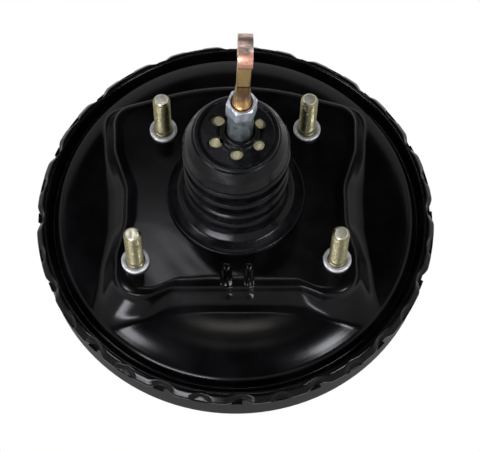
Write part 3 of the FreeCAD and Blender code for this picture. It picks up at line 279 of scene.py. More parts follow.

# %% [markdown]
# ## Plated and bare steel
#
# Zinc plating takes its tint from the dip after it: olive gold on the studs, blue silver on the
# coupling, a copper pink on the rod's eye. Plate is bright but cloudy, with stains and fine
# scratches. The colour may also change at a height, so the finish takes a list of heights with the
# tints that begin there. Some of these are painted light: a painted highlight on the studs' ends,
# a painted reflection that, with a brighter zinc, lightens the coupling's hex, and on the rod's eye
# a painted shadow under the step and a painted highlight on the rim's lower curve.

# %% Plate the steel
BAND_BLUR, SCRATCH_DEPTH = 0.4, 0.006


def plated(name, bright, stained, roughness, cloud=3.0, tints_and_painted_light=()):
    """Plated steel. Each band gives the height in mm where another pair of tints takes over; some
    of them are painted light.
    """
    finish = Finish(name)
    clouds = finish.noise(grain=cloud, detail=4.0, roughness=0.6)
    scratches = finish.noise(grain=0.5, detail=2.0)
    stain = (clouds.smooth(0.32, 0.70) * 0.8 + scratches.smooth(0.45, 0.75) * 0.35).clamped()
    split = add_node(finish.tree, "ShaderNodeSeparateXYZ", Vector=finish.place)
    height = Number(finish.tree, split.outputs["Z"])
    for level, bright_above, stained_above in tints_and_painted_light:
        above = height.smooth((level - BAND_BLUR) * MM, (level + BAND_BLUR) * MM)
        bright = finish.mix(above, bright, bright_above)
        stained = finish.mix(above, stained, stained_above)
    finish.set(Base_Color=finish.mix(stain, bright, stained), Metallic=1.0,
               Roughness=stain * 0.20 + roughness,
               Normal=finish.relief(scratches, SCRATCH_DEPTH))
    return finish.material


# The top half millimetre of each stud, its end face, is painted pale: a painted highlight on the
# lit ends.
stud_plate_and_tip_highlight = plated("Olive gold zinc with a painted tip highlight", (0.31, 0.29, 0.18), (0.135, 0.12, 0.06), 0.25,
                    tints_and_painted_light=[(36.1, (0.80, 0.78, 0.66), (0.36, 0.34, 0.24))])
collar_plate = plated("Pale zinc", (0.66, 0.66, 0.66), (0.36, 0.36, 0.38), 0.46)
# Above 97.3 mm the hex is tinted far lighter than the sleeve: partly a brighter zinc of its own,
# partly a painted reflection on its faces.
coupling_plate_and_hex_reflection = plated("Blue silver zinc with a painted hex reflection", (0.40, 0.46, 0.50), (0.20, 0.24, 0.26), 0.30,
                        tints_and_painted_light=[(97.3, (0.86, 0.92, 1.0), (0.50, 0.55, 0.66))])
# On the rod's eye, the dark band from 127.6 mm is a painted shadow under the step, and the pale
# band from 148.4 mm is a painted highlight where the rim curves down towards the light.
eye_plate_and_painted_light = plated("Copper and gold plate with painted shade and highlight", (0.50, 0.30, 0.13), (0.24, 0.13, 0.05), 0.27, cloud=1.6,
                   # painted shadow under the step
                   tints_and_painted_light=[(127.6, (0.12, 0.07, 0.03), (0.06, 0.035, 0.015)),
                          (129.2, (0.70, 0.50, 0.22), (0.40, 0.26, 0.10)),
                          # painted highlight on the eye's lower rim
                          (148.4, (0.92, 0.74, 0.62), (0.70, 0.48, 0.36)),
                          (151.6, (0.78, 0.44, 0.33), (0.44, 0.20, 0.13)),
                          (162.2, (0.60, 0.46, 0.42), (0.34, 0.24, 0.20))])
bare_steel = plated("Bare steel", (0.56, 0.56, 0.57), (0.36, 0.35, 0.34), 0.32)
spring_wire = plated("Dark spring wire", (0.26, 0.26, 0.28), (0.13, 0.13, 0.14), 0.34)
print("Plated:", stud_plate_and_tip_highlight.name, coupling_plate_and_hex_reflection.name, eye_plate_and_painted_light.name)

# %% [markdown]
# ## Moulded and fibrous pieces
#
# The hub is moulded phenolic with a little filler showing, the key is nylon, and behind the
# boot's air holes sits a felt ring: warm grey fibres that scatter light and never shine.

# %% Mix the rest
def moulded(name, dark, light, roughness, grain, depth):
    """A dull material with flecks one grain in mm across, that stand out by depth in mm."""
    finish = Finish(name)
    flecks = finish.noise(grain, detail=5.0, roughness=0.7)
    finish.set(Base_Color=finish.mix(flecks.smooth(0.35, 0.70), dark, light), Roughness=roughness,
               Normal=finish.relief(flecks, depth))
    return finish.material


hub_phenolic = moulded("Phenolic hub", (0.060, 0.050, 0.044), (0.13, 0.11, 0.10), 0.55, 1.2, 0.03)
key_nylon = moulded("Black nylon", (0.020, 0.020, 0.021), (0.040, 0.040, 0.041), 0.42, 0.8, 0.01)
filter_foam = moulded("Filter foam", (0.20, 0.19, 0.16), (0.36, 0.34, 0.30), 0.95, 1.0, 0.35)
felt_wool = moulded("Yellow-grey felt", (0.26, 0.235, 0.13), (0.50, 0.46, 0.30), 0.95, 0.6, 0.20)
print("Moulded:", hub_phenolic.name, felt_wool.name)

# %% [markdown]
# ## Rings that close on themselves
#
# Most of this object was turned, spun or pressed, so most meshes here are rings of points
# stacked along a closed section. If the section returns to its start, the mesh has no open edge
# and needs no caps. The height and radius of a ring may differ round the circle, which is what
# turns a plain dome into a pressed shell.

# %% Skin a closed section
def skin_rings(name, radii, heights, material):
    """A closed mesh from arrays of radius and height in mm, [ring][place round the circle]."""
    rings, places = radii.shape
    angles = np.arange(places) * 2 * math.pi / places
    points = np.stack([radii * np.cos(angles), radii * np.sin(angles), heights], axis=-1)
    here = np.arange(rings * places).reshape(rings, places)
    onward, beside = np.roll(here, -1, axis=0), np.roll(here, -1, axis=1)
    across = np.roll(onward, -1, axis=1)
    faces = np.stack([here, beside, across, onward], axis=-1).reshape(-1, 4)
    mesh = bpy.data.meshes.new(name)
    mesh.from_pydata((points.reshape(-1, 3) * MM).tolist(), [], faces.tolist())
    mesh.shade_smooth()
    mesh.materials.append(material)
    return add_object(name, mesh)


def rounded(corners, steps=6):
    """Points along a path of (x, y) corners, each rounded where it has a third number."""
    points = []
    count = len(corners)
    for index, corner in enumerate(corners):
        here = Vector(corner[:2])
        if len(corner) < 3:
            points.append(tuple(here))
            continue
        back = (Vector(corners[index - 1][:2]) - here).normalized()
        onward = (Vector(corners[(index + 1) % count][:2]) - here).normalized()
        half = back.angle(onward) / 2
        centre = here + (back + onward).normalized() * corner[2] / math.sin(half)
        start = here + back * corner[2] / math.tan(half) - centre
        turn = (math.pi - 2 * half) * (-1 if back.cross(onward) > 0 else 1)
        for step in range(steps + 1):
            angle = turn * step / steps
            points.append((centre.x + start.x * math.cos(angle) - start.y * math.sin(angle),
                           centre.y + start.x * math.sin(angle) + start.y * math.cos(angle)))
    return points


def turned(name, corners, material, places=96, steps=6):
    """A lathe piece from the corners of its closed section, (radius, height) in mm."""
    section = np.array(rounded(corners, steps))
    radii = np.repeat(section[:, :1], places, axis=1)
    heights = np.repeat(section[:, 1:], places, axis=1)
    thing = skin_rings(name, radii, heights, material)
    face_outwards(thing)
    return thing


def face_outwards(thing):
    work = bmesh.new()
    work.from_mesh(thing.data)
    bmesh.ops.recalc_face_normals(work, faces=work.faces)
    work.to_mesh(thing.data)
    work.free()


print("skin_rings, rounded and turned are ready")

# %% [markdown]
# ## The plateau's outline
#
# The bulkhead side of the shell has a flat seat, pressed up out of the dome. Its outline is a
# trapezoid with bulging corners for the studs and a waist at the sides. Seen from the middle,
# every direction meets the outline once, so it can be kept as one radius for each direction:
# one for the edge of the flat, and one for the foot of the sloping flank round it.

# %% Measure the outline from the middle
def mirrored(right):
    """The whole outline from its right half: x, y and rounding of each corner, far middle first."""
    return right + [(-x, y, bend) for x, y, bend in reversed(right[1:])]


flat_edge = mirrored([
    (0, 78.0, 142), (71.5, 57.0, 13), (70.3, 29.0, 24), (62.8, 6.0, 24), (62.8, -16.0, 24),
    (68.0, -36.0, 24), (68.0, -62.3, 14.5), (48.0, -62.3, 12), (36.0, -57.2, 12)])
flank_foot = mirrored([
    (0, 90.0, 142), (80.5, 66.0, 13), (79.3, 29.0, 24), (84.8, 6.0, 24), (84.8, -16.0, 24),
    (82.0, -36.0, 24), (82.0, -75.3, 14.5), (48.0, -75.3, 12), (36.0, -73.2, 12)])
FLANK_DEPTH = 26.0


def reach(outline, angles):
    """How far the outline lies from the middle in each direction."""
    points = np.array(rounded(outline, steps=24))
    ends = np.roll(points, -1, axis=0)
    far = np.zeros(len(angles))
    for (ax, ay), (bx, by) in zip(points, ends):
        dx, dy = bx - ax, by - ay
        spread = np.cos(angles) * dy - np.sin(angles) * dx
        spread = np.where(np.abs(spread) < 1e-9, 1e-9, spread)
        along = (ax * dy - ay * dx) / spread
        share = (ax * np.sin(angles) - ay * np.cos(angles)) / spread
        far = np.where((share >= -1e-6) & (share <= 1 + 1e-6) & (along > 0),
                       np.maximum(far, along), far)
    return far


PLACES = 576
angles = np.arange(PLACES) * 2 * math.pi / PLACES
edge_reach = reach(flat_edge, angles)
foot_reach = reach(flank_foot, angles)
print("Plateau reaches", round(edge_reach.min(), 1), "to", round(edge_reach.max(), 1), "mm")

# %% [markdown]
# ## The pressed rear shell
#
# A press tool gives a shell one height for each spot, so the outer face can be worked out as a
# height: the dome, the flat seat with its flank, and soft blends where they meet. The flat doesn't
# end in a line. It rolls over first gently and then fast, and drops by a short step before the
# long flank begins. Two short grooves cross its lower edge. Blends are the point of it, because
# glossy black paint shows nothing but how the surface turns.

# %% Work out the pressed face
def blend_high(a, b, size):
    """The higher of two heights, with the valley between them filled to a soft fillet."""
    mixed = np.clip(0.5 + (a - b) / (2 * size), 0, 1)
    return b + (a - b) * mixed + size * mixed * (1 - mixed)


DOME = np.array([(0, -8.4), (40, -9.4), (60, -13.6), (66, -14.4), (72, -14.94), (78, -15.78),
                 (84, -16.92), (92, -18.6), (95, -19.55), (98, -20.75), (101, -22.2),
                 (103.6, -23.9), (105, -25.8)])


def dome_height(radius):
    """The plain dome under everything: a smooth curve through the heights in DOME."""
    slopes = np.gradient(DOME[:, 1], DOME[:, 0])
    index = np.clip(np.searchsorted(DOME[:, 0], radius) - 1, 0, len(DOME) - 2)
    x0, x1 = DOME[index, 0], DOME[index + 1, 0]
    y0, y1 = DOME[index, 1], DOME[index + 1, 1]
    t = (radius - x0) / (x1 - x0)
    width = x1 - x0
    return ((2 * t**3 - 3 * t**2 + 1) * y0 + (t**3 - 2 * t**2 + t) * width * slopes[index]
            + (3 * t**2 - 2 * t**3) * y1 + (t**3 - t**2) * width * slopes[index + 1])


print("The dome drops", round(float(DOME[0, 1] - DOME[-1, 1]), 1), "mm to the rim")

# %% Press the grooves and the waves
GROOVES = [(-5.75, 6.0), (7.05, 5.0)]  # where across the shell, and how wide
GROOVE_DEPTH, GROOVE_FROM, GROOVE_RUN_IN = 1.5, -43.5, 4.5
GROOVE_END, GROOVE_FADE = 4.6, 3.6  # how far past the flat's edge they end
PAD_LEFT, PAD_RIGHT, PAD_SOFT = -6, 7.4, 3  # the flat between the grooves
PAD_RUN_IN, PAD_LENGTH, PAD_TILT, PAD_TWIST = 7, 22, 0.065, 0.06
WAVE_LENGTH, WAVE_HEIGHT, RIPPLE_HEIGHT = 9.5, 0.20, 0.08
WAVES_BELOW, WAVES_LEFT_OF = 18, 24  # they fade in from these two lines


def groove_height(x, y):
    """Two short grooves pressed across the lower edge, and a flat that tilts between them."""
    deep = np.zeros_like(x)
    for middle, width in GROOVES:
        off = np.clip(1 - (np.abs(x - middle) / (width / 2)) ** 2, 0, 1) ** 1.3
        start = np.clip((GROOVE_FROM - y) / GROOVE_RUN_IN, 0, 1)
        deep = np.maximum(deep, off * start * start * (3 - 2 * start))
    between = (np.clip((x - PAD_LEFT) / PAD_SOFT, 0, 1)
               * np.clip((PAD_RIGHT - x) / PAD_SOFT, 0, 1))
    grown = np.clip((GROOVE_FROM - y) / PAD_RUN_IN, 0, 1) ** 2
    tilt = np.clip(GROOVE_FROM - y, 0, PAD_LENGTH) * PAD_TILT - (x - 1) * PAD_TWIST
    return -GROOVE_DEPTH * deep - between * tilt * grown


def sheet_waves(x, y):
    """Faint waves that the press leaves in the flat, strongest at its lower left."""
    along = (x + y * 0.8) / WAVE_LENGTH
    near = np.clip((-y - WAVES_BELOW) / 26, 0, 1) * np.clip((WAVES_LEFT_OF - x) / 50, 0, 1)
    return near * (WAVE_HEIGHT * np.sin(along) + RIPPLE_HEIGHT * np.sin(along * 2.3 + 1.3))


print("Grooves:", len(GROOVES), "each", GROOVE_DEPTH, "mm deep")

# %% Roll the edge and join it all
STEP_WIDTH, STEP_DROP = 1.7, 6.4
STEP_FILLET, FOOT_FILLET = 1.8, 4.0
ROLL_PLACES, ROLL_SLOPES = [-7.0, -0.6, 0.7, 40], [0, 0.42, 3.2, 3.2]
ROLL_PACE = 0.02


def rolled_over(out):
    """How deep the flat's edge has rolled down, by the distance outside its outline."""
    table = np.arange(-8.0, 40.0, ROLL_PACE)
    slopes = np.interp(table, ROLL_PLACES, ROLL_SLOPES)
    return np.interp(out, table, np.cumsum(slopes) * ROLL_PACE)


def face_height(radius, x, y):
    """Height of the shell's outer face, for arrays of places in mm."""
    out = radius - edge_reach
    gentle = STEP_DROP + (np.maximum(out - STEP_WIDTH, -1) * (FLANK_DEPTH - STEP_DROP)
                          / (foot_reach - edge_reach - STEP_WIDTH))
    flank = blend_high(-rolled_over(out), -gentle, STEP_FILLET) + sheet_waves(x, y)
    flank = flank + groove_height(x, y) * np.clip((GROOVE_END - out) / GROOVE_FADE, 0, 1)
    return blend_high(flank, dome_height(radius), FOOT_FILLET)


# The rings lie close together where the plateau's edge and the dome's shoulder pass.
ring_radii = np.concatenate([np.linspace(30.0, 42.0, 5), np.arange(43.0, 92.0, 0.6),
                             np.linspace(92.6, 104.8, 18)])
radii = np.repeat(ring_radii[:, None], PLACES, axis=1)
heights = face_height(radii, radii * np.cos(angles), radii * np.sin(angles))
print("Pressed face:", len(ring_radii), "rings of", PLACES)

# %% [markdown]
# ## The rim
#
# Outside the dome the sheet dips into a channel, comes up to a flat top and folds down over the
# front shell. The rim's section is the same all round, so it is added as plain rings. The press
# then notches its edge into sixteen lobes and dents each lobe to lock the shells. That repeats
# evenly, so it is left to geometry nodes, where the count and the sizes stay as named inputs.

# %% Add the rim and close the section
WALL = 1.6
neck = [(23.4, 3.6), (23.4, 6.0), (26.0, 6.0), (27.8, 5.3), (28.5, 3.6), (28.6, 0.6), (29.2, 0.0)]
rim = [(105.15, -27.0), (105.3, -29.0), (105.7, -30.5), (106.6, -31.0), (107.8, -30.8),
       (108.6, -29.6), (109.6, -26.6), (110.2, -25.0), (111.0, -24.5), (112.0, -24.45),
       (113.0, -24.5), (113.8, -24.8), (114.4, -25.4), (115.0, -26.1), (115.6, -26.85),
       (116.2, -27.6), (116.6, -28.1)]
hem = [(116.95, -28.7), (116.9, -29.5), (116.4, -30.0), (115.6, -30.0), (115.1, -29.3)]
inside = [(113.6, -27.4), (112.4, -26.2), (111.2, -26.3), (110.4, -28.4), (109.4, -31.6),
          (107.6, -32.6), (105.0, -32.5), (103.6, -31.0), (103.3, -29.0), (102.9, -27.0)]


def even_rings(section):
    """Rings that are the same all round, from (radius, height) pairs."""
    section = np.array(section)
    return (np.repeat(section[:, :1], PLACES, axis=1), np.repeat(section[:, 1:], PLACES, axis=1))


# The underside isn't seen, so every fourth ring is enough for it.
under_rows = np.arange(len(ring_radii) - 2, -1, -4)
parts = [even_rings(neck), (radii, heights), even_rings(rim + hem + inside),
         (radii[under_rows], heights[under_rows] - WALL), even_rings([(26.9, -1.6), (26.9, 3.6)])]
shell = skin_rings("rear_shell_pressed", np.vstack([part[0] for part in parts]),
                   np.vstack([part[1] for part in parts]), shell_paint)
face_outwards(shell)
print("Rear shell:", len(shell.data.polygons), "faces")

# %% [markdown]
# ## Geometry nodes, baked
#
# What repeats is made by a node tree with named inputs, so that a count or a depth can be changed
# in one place. The tree is built here, its inputs are set through their identifiers, and the
# evaluated result replaces the mesh, so nothing is left to work out when the piece moves.

# %% Build and bake a node tree
class Recipe:
    """A geometry node tree whose named inputs are given with their values."""

    def __init__(self, name, **inputs):
        self.tree = bpy.data.node_groups.new(name, "GeometryNodeTree")
        sockets = self.tree.interface
        sockets.new_socket("Geometry", in_out="INPUT", socket_type="NodeSocketGeometry")
        sockets.new_socket("Geometry", in_out="OUTPUT", socket_type="NodeSocketGeometry")
        self.values = {}
        for label, value in inputs.items():
            kind = "NodeSocketInt" if isinstance(value, int) else "NodeSocketFloat"
            socket = sockets.new_socket(label.replace("_", " "), in_out="INPUT", socket_type=kind)
            socket.default_value = value
            self.values[socket.identifier] = value
        self.source = self.tree.nodes.new("NodeGroupInput")
        self.sink = self.tree.nodes.new("NodeGroupOutput")
        place = self.tree.nodes.new("GeometryNodeInputPosition")
        split = add_node(self.tree, "ShaderNodeSeparateXYZ", Vector=place.outputs[0])
        self.x, self.y, self.z = (Number(self.tree, split.outputs[axis]) for axis in "XYZ")

    def input(self, label):
        return Number(self.tree, self.source.outputs[label])

    def move_to(self, geometry, x, y, z):
        place = add_node(self.tree, "ShaderNodeCombineXYZ", X=x, Y=y, Z=z)
        return add_node(self.tree, "GeometryNodeSetPosition", Geometry=geometry,
                        Position=place.outputs[0]).outputs[0]

    def bake(self, thing, geometry, material):
        """Finish the tree with real instances and a material, and keep its mesh on thing."""
        real = add_node(self.tree, "GeometryNodeRealizeInstances", Geometry=geometry)
        painted = add_node(self.tree, "GeometryNodeSetMaterial", Geometry=real.outputs[0],
                           Material=material)
        self.tree.links.new(painted.outputs[0], self.sink.inputs[0])
        modifier = thing.modifiers.new(self.tree.name, "NODES")
        modifier.node_group = self.tree
        for identifier, value in self.values.items():
            modifier[identifier] = value
        keep_result(thing)
        thing.data.shade_smooth()


print("Recipe is ready")

# %% [markdown]
# ## Lobes and crimps
#
# Round the rim, sixteen notches part sixteen lobes. Each notch draws the edge in to a soft hollow,
# and each lobe carries a half-moon dent from the punch that bent it over. The tree works out how
# far a point is from the nearest notch, as a length along the rim, and moves the point by that.

# %% Press the lobes
SLOPE_FROM, SLOPE_TO = 111.0 * MM, 116.2 * MM  # the notches deepen across the rim's slope
PUNCH_MIDDLE, PUNCH_REACH, PUNCH_LEAN = 117.4 * MM, 4.2 * MM, 0.35
press = Recipe("Lobed rim", Lobes=16, Notch_depth=2.9 * MM, Notch_width=18.0 * MM,
               Crimp_depth=1.5 * MM, Crimp_width=12.5 * MM, Turn=1.0)
radius = (press.x * press.x + press.y * press.y).math("SQRT")
direction = press.y.math("ARCTAN2", press.x)
angle = direction - press.input("Turn") * math.radians(1)
share = (angle * press.input("Lobes") / (2 * math.pi)).math("FRACT")
arc = radius * 2 * math.pi / press.input("Lobes")
from_notch = share.math("MINIMUM", 1 - share) * arc
from_crimp = (share - 0.5).math("ABSOLUTE") * arc
hollow = (1 - from_notch / (press.input("Notch width") * 0.5)).smooth(0.0, 1.0)
pulled = radius - hollow * press.input("Notch depth") * radius.smooth(SLOPE_FROM, SLOPE_TO)
across = from_crimp / (press.input("Crimp width") * 0.5)
along = (radius - PUNCH_MIDDLE) / PUNCH_REACH
dent = (1 - (across * across + along * along)).smooth(0.0, 0.55)
# The punch meets the rim's outer face alone, so the hem under it and the dome are left out.
met = radius.smooth(112.0 * MM, 112.4 * MM) * press.z.smooth(-29.0 * MM, -28.6 * MM)
lowered = press.z - dent * press.input("Crimp depth") * met
inward = pulled - dent * press.input("Crimp depth") * PUNCH_LEAN * met
moved = press.move_to(press.source.outputs["Geometry"], inward * direction.math("COSINE"),
                      inward * direction.math("SINE"), lowered)
press.bake(shell, moved, shell_paint)
print("Rim after pressing:", len(shell.data.vertices), "points")

# %% [markdown]
# ## Stud holes
#
# The shell is drilled for its four studs. They are cut out with plain round cutters, so the
# shell stays a closed sheet and the studs stand in it without cutting through its wall.

# %% Drill the shell
STUDS = [(-41.9, 41.2), (41.9, 41.2), (-56.6, -42.3), (56.6, -42.3)]
STUD_HOLE_RADIUS = 5.4


def bar(name, x, y, radius, low, high, places=32):
    """A plain round bar standing between two heights."""
    mesh = bpy.data.meshes.new(name)
    work = bmesh.new()
    bmesh.ops.create_cone(work, cap_ends=True, segments=places, radius1=radius * MM,
                          radius2=radius * MM, depth=(high - low) * MM)
    bmesh.ops.translate(work, verts=work.verts, vec=Vector((x, y, (high + low) / 2)) * MM)
    work.to_mesh(mesh)
    work.free()
    return add_object(name, mesh)


def cut_out(thing, cutters):
    """Take the cutters away from a piece, and drop them."""
    for cutter in cutters:
        knife = thing.modifiers.new("cut", "BOOLEAN")
        knife.object = cutter
        knife.solver = "EXACT"
    keep_result(thing)
    for cutter in cutters:
        bpy.data.objects.remove(cutter)


cut_out(shell, [bar("stud_drill", x, y, STUD_HOLE_RADIUS, -12, 6) for x, y in STUDS])
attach(shell, "housing")
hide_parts("rear_shell")
print("Shell drilled:", len(shell.data.polygons), "faces")

# %% [markdown]
# ## Threaded studs
#
# A thread is one groove that climbs as it goes round. The tree wraps a flat grid round the stud
# and sinks it by a wave of height minus turn, which gives a real helix. The wave fades out at
# the shank and at the dog point, where the real thread runs out too. Four points, one at each
# stud's place, receive a copy each.

# %% Roll the threads
def point_cloud(name, places):
    mesh = bpy.data.meshes.new(name)
    mesh.from_pydata([(x * MM, y * MM, z * MM) for x, y, z in places], [], [])
    return add_object(name, mesh)


THREAD_DEPTH, ROOT_FILL = 0.42, 0.9  # depth as a share of the pitch, less what fills the root
CREST_TO, ROOT_FROM = 0.12, 0.92  # where the crest ends and the root begins, in half pitches
CHAMFER = 0.5


def threaded(name, places, bottom, top, head_top, shank_top, size, shank, head, pitch, dog,
             material, rows, thread_from, thread_to):
    """Copies of one threaded bar with a head and a wider shank, on the given places."""
    recipe = Recipe(name, Diameter=size * MM, Pitch=pitch * MM, Depth=pitch * THREAD_DEPTH * MM,
                    Dog_diameter=dog * MM, Shank_diameter=shank * MM, Head_diameter=head * MM)
    grid = add_node(recipe.tree, "GeometryNodeMeshGrid", Size_X=2.0, Size_Y=2.0,
                    Vertices_X=49, Vertices_Y=rows)
    turn = (recipe.x + 1) * math.pi
    share = (recipe.y + 1) / 2
    height = share * (top - bottom) * MM + bottom * MM
    wave = ((height / recipe.input("Pitch") - turn / (2 * math.pi)).math("FRACT") - 0.5)
    groove = (wave.math("ABSOLUTE") * 2).smooth(CREST_TO, ROOT_FROM)
    cover = (height.smooth((thread_from - 1.0) * MM, thread_from * MM)
             - height.smooth((thread_to - 0.6) * MM, (thread_to + 0.5) * MM))
    full = recipe.input("Diameter") / 2 - groove * cover * recipe.input("Depth") * ROOT_FILL
    dog_size = recipe.input("Dog diameter") / 2
    nose = height.smooth((thread_to + 0.1) * MM, (thread_to + 1.5) * MM)
    radius = full + (dog_size - full) * nose
    above_shank = height.smooth(shank_top * MM, (shank_top + 0.35) * MM)
    radius = radius + (1 - above_shank) * (recipe.input("Shank diameter") / 2 - radius)
    above_head = height.smooth((head_top - 0.05) * MM, head_top * MM)
    radius = radius + (1 - above_head) * (recipe.input("Head diameter") / 2 - radius)
    radius = radius - height.smooth((top - 0.7) * MM, top * MM) * CHAMFER * MM
    end = (1 - share).smooth(0.0, 0.0005) * share.smooth(0.0, 0.0005)
    radius = radius * end
    wrapped = recipe.move_to(grid.outputs["Mesh"], radius * turn.math("COSINE"),
                             radius * turn.math("SINE"), height)
    closed = add_node(recipe.tree, "GeometryNodeMergeByDistance", Geometry=wrapped,
                      Distance=0.01 * MM)
    copies = add_node(recipe.tree, "GeometryNodeInstanceOnPoints",
                      Points=recipe.source.outputs["Geometry"], Instance=closed.outputs[0])
    thing = point_cloud(name, places)
    recipe.bake(thing, copies.outputs[0], material)
    face_outwards(thing)
    thing.data.set_sharp_from_angle(angle=math.radians(50))
    return thing


studs = threaded("mounting_studs_threaded", [(x, y, 0) for x, y in STUDS], bottom=-7.0, top=36.6,
                 head_top=-3.6, shank_top=3.0, size=9.8, shank=10.7, head=17, pitch=1.5, dog=7.6,
                 material=stud_plate_and_tip_highlight, rows=440, thread_from=7.0, thread_to=34.4)
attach(studs, "housing")
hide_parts("mounting_studs")
print("Studs:", len(studs.data.polygons), "faces")

# %% [markdown]
# ## Stud collars
#
# Each stud has a pale collar at its foot, pressed on with a rounded rim. One turned ring is
# enough, and its four copies are joined into one piece, as the CAD model has it too.

# %% Turn the collars
def copies_at(name, master, places):
    """One mesh with a copy of master at each place, and the master gone."""
    work = bmesh.new()
    for x, y in places:
        first = len(work.verts)
        work.from_mesh(master.data)
        work.verts.ensure_lookup_table()
        bmesh.ops.translate(work, verts=work.verts[first:], vec=Vector((x, y, 0)) * MM)
    mesh = bpy.data.meshes.new(name)
    work.to_mesh(mesh)
    work.free()
    mesh.materials.append(master.data.materials[0])
    thing = add_object(name, mesh)
    bpy.data.objects.remove(master)
    return thing


collar = turned("collar", [(5.4, 0.02), (7.9, 0.02, 0.3), (8.0, 2.2, 0.6), (7.0, 2.5, 0.5),
                           (5.7, 2.4, 0.2), (5.4, 2.1)], collar_plate, places=72, steps=5)
collars = copies_at("stud_collars_rounded", collar, STUDS)
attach(collars, "housing")
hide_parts("stud_collars")
print("Collars:", len(collars.data.polygons), "faces")

# %% [markdown]
# ## The dust boot
#
# The boot is one moulding: a broad flange on the plateau, a flare, a bellows of soft folds and a
# thick top that closes on the coupling. Its section is drawn once and spun. A real boot is never
# perfectly round, so the rings are pushed in and out a little by a few slow waves, which climb
# round the boot so that each fold bulges in its own way. The air holes are then punched through
# the top by a ring of cutters.

# %% Mould the boot
BOOT_PLACES = 288
BOOT_WAVES = [(0.16, 2, 0.11, 0), (0.09, 3, -0.23, 1), (0.05, 7, 0.31, 0)]
AIR_HOLES, HOLE_TURN = 6, 4.6
HOLE_MIDDLE, HOLE_CIRCLE, HOLE_RADIUS = (-0.3, 0.5), 13.2, 3.35
outside_of_boot = [
    (20.6, 71.9), (21.2, 72.1, 0.3), (21.6, 72.6, 0.4), (22.6, 72.6, 0.5), (23.2, 71.3, 0.5),
    (24.2, 70.6, 1.0), (27.4, 64.6, 6), (29.3, 58.6, 3), (29.4, 57.4, 0.8),
    (27.4, 56.0, 0.5), (28.7, 54.8, 0.5), (29.6, 52.8, 1.2), (29.2, 45.6, 3),
    (28.8, 44.0, 0.8), (27.0, 42.6, 0.5), (28.4, 41.6, 0.5), (29.4, 39.6, 1.2), (28.9, 33.4, 3),
    (28.6, 31.8, 0.8), (26.8, 30.4, 0.5), (28.2, 29.2, 0.5), (29.3, 27.4, 1.2), (28.8, 22.0, 3),
    (28.6, 20.4, 0.8), (27.0, 18.9, 0.5), (28.5, 17.8, 0.5), (29.4, 15.8, 1.4), (29.9, 9.4, 4.5),
    (33.0, 4.9, 3.0), (36.8, 3.5, 3.0), (39.4, 2.9, 0.9), (39.6, 0.05, 0.2)]
inside_of_boot = [
    (31.6, 0.05), (29.0, 4.6), (28.2, 10.0), (27.4, 16.0), (25.9, 18.9), (27.2, 21.6),
    (27.2, 27.6), (25.7, 30.4), (27.2, 33.0), (27.2, 40.0), (25.8, 42.6), (27.4, 45.0),
    (27.4, 54.0), (25.8, 56.0), (27.4, 58.4), (25.8, 63.8), (22.0, 70.4), (11.0, 70.5)]
lip_of_boot = [(9.6, 69.7), (8.3, 69.7), (7.7, 70.2), (7.6, 74.0), (7.9, 75.4), (8.6, 75.6),
               (9.2, 74.6), (9.6, 73.0), (10.6, 72.3, 0.8), (12.0, 72.0)]


def finer(section, longest):
    """The same path with extra points, so that no step is longer than longest."""
    points = []
    for (x0, y0), (x1, y1) in zip(section, section[1:] + section[:1]):
        steps = max(1, math.ceil(math.hypot(x1 - x0, y1 - y0) / longest))
        points += [(x0 + (x1 - x0) * k / steps, y0 + (y1 - y0) * k / steps) for k in range(steps)]
    return points


section = rounded(outside_of_boot + inside_of_boot + lip_of_boot, steps=5)
section = np.array(finer(section, longest=1.6))
around = np.arange(BOOT_PLACES) * 2 * math.pi / BOOT_PLACES
level = section[:, 1:]
soft = np.clip((level - 4) / 8, 0, 1) * np.clip((71 - level) / 6, 0, 1)
waves = sum(height * np.sin(count * around + level * climb + start)
            for height, count, climb, start in BOOT_WAVES)
boot_radii = section[:, :1] + soft * waves
boot_heights = level + soft * 0.22 * np.sin(2 * around + level * 0.19 + 2)
boot = skin_rings("dust_boot_moulded", boot_radii, boot_heights, boot_rubber)
face_outwards(boot)
punches = []
for number in range(AIR_HOLES):
    turn_to = math.radians(30 + number * 360 / AIR_HOLES - HOLE_TURN)
    punches.append(bar("air_hole_punch", HOLE_MIDDLE[0] + HOLE_CIRCLE * math.cos(turn_to),
                       HOLE_MIDDLE[1] + HOLE_CIRCLE * math.sin(turn_to), HOLE_RADIUS, 66, 76,
                       places=40))
cut_out(boot, punches)
print("Boot:", len(boot.data.polygons), "faces")

# %% [markdown]
# ## Fitting the boot to the rod
#
# The rod stands a little to the right, and the boot's neck grips it, so the neck goes along while
# the wide part stays. When the pedal is pressed the bellows fold up, but here the boot keeps its
# shape and rides on the housing.

# %% Set the boot on the booster
LEAN = math.radians(1.4)
NECK_RADIUS, NECK_SPREAD = 10, 14
TOP_LEVEL, TOP_SPREAD = 66, 4


def held(value):
    """The value, held between 0 and 1."""
    return min(1.0, max(0.0, value))


for point in boot.data.vertices:
    from_middle = math.hypot(point.co.x, point.co.y) / MM
    near_neck = 1 - held((from_middle - NECK_RADIUS) / NECK_SPREAD)
    high = held((point.co.z / MM - TOP_LEVEL) / TOP_SPREAD)
    point.co.x += point.co.z * math.tan(LEAN) * near_neck * high
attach(boot, "housing")
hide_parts("dust_boot")
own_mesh(boot)

# %% [markdown]
# ## The coupling
#
# The coupling is a turned sleeve whose upper end was milled to a hexagon and then chamfered on the
# lathe. Both cuts are easy to say as radii: at any direction the metal reaches as far as the flat
# lets it, and never farther than the lathe left it, so each ring takes the smaller of the two.
# The milled faces then meet the chamfer in the curved edges that every nut shows.

# %% Turn and mill the coupling
def leaning(thing):
    """Tilt a piece with the input rod, which stands a little to the right."""
    for point in thing.data.vertices:
        point.co.x += point.co.z * math.tan(LEAN)
    return thing


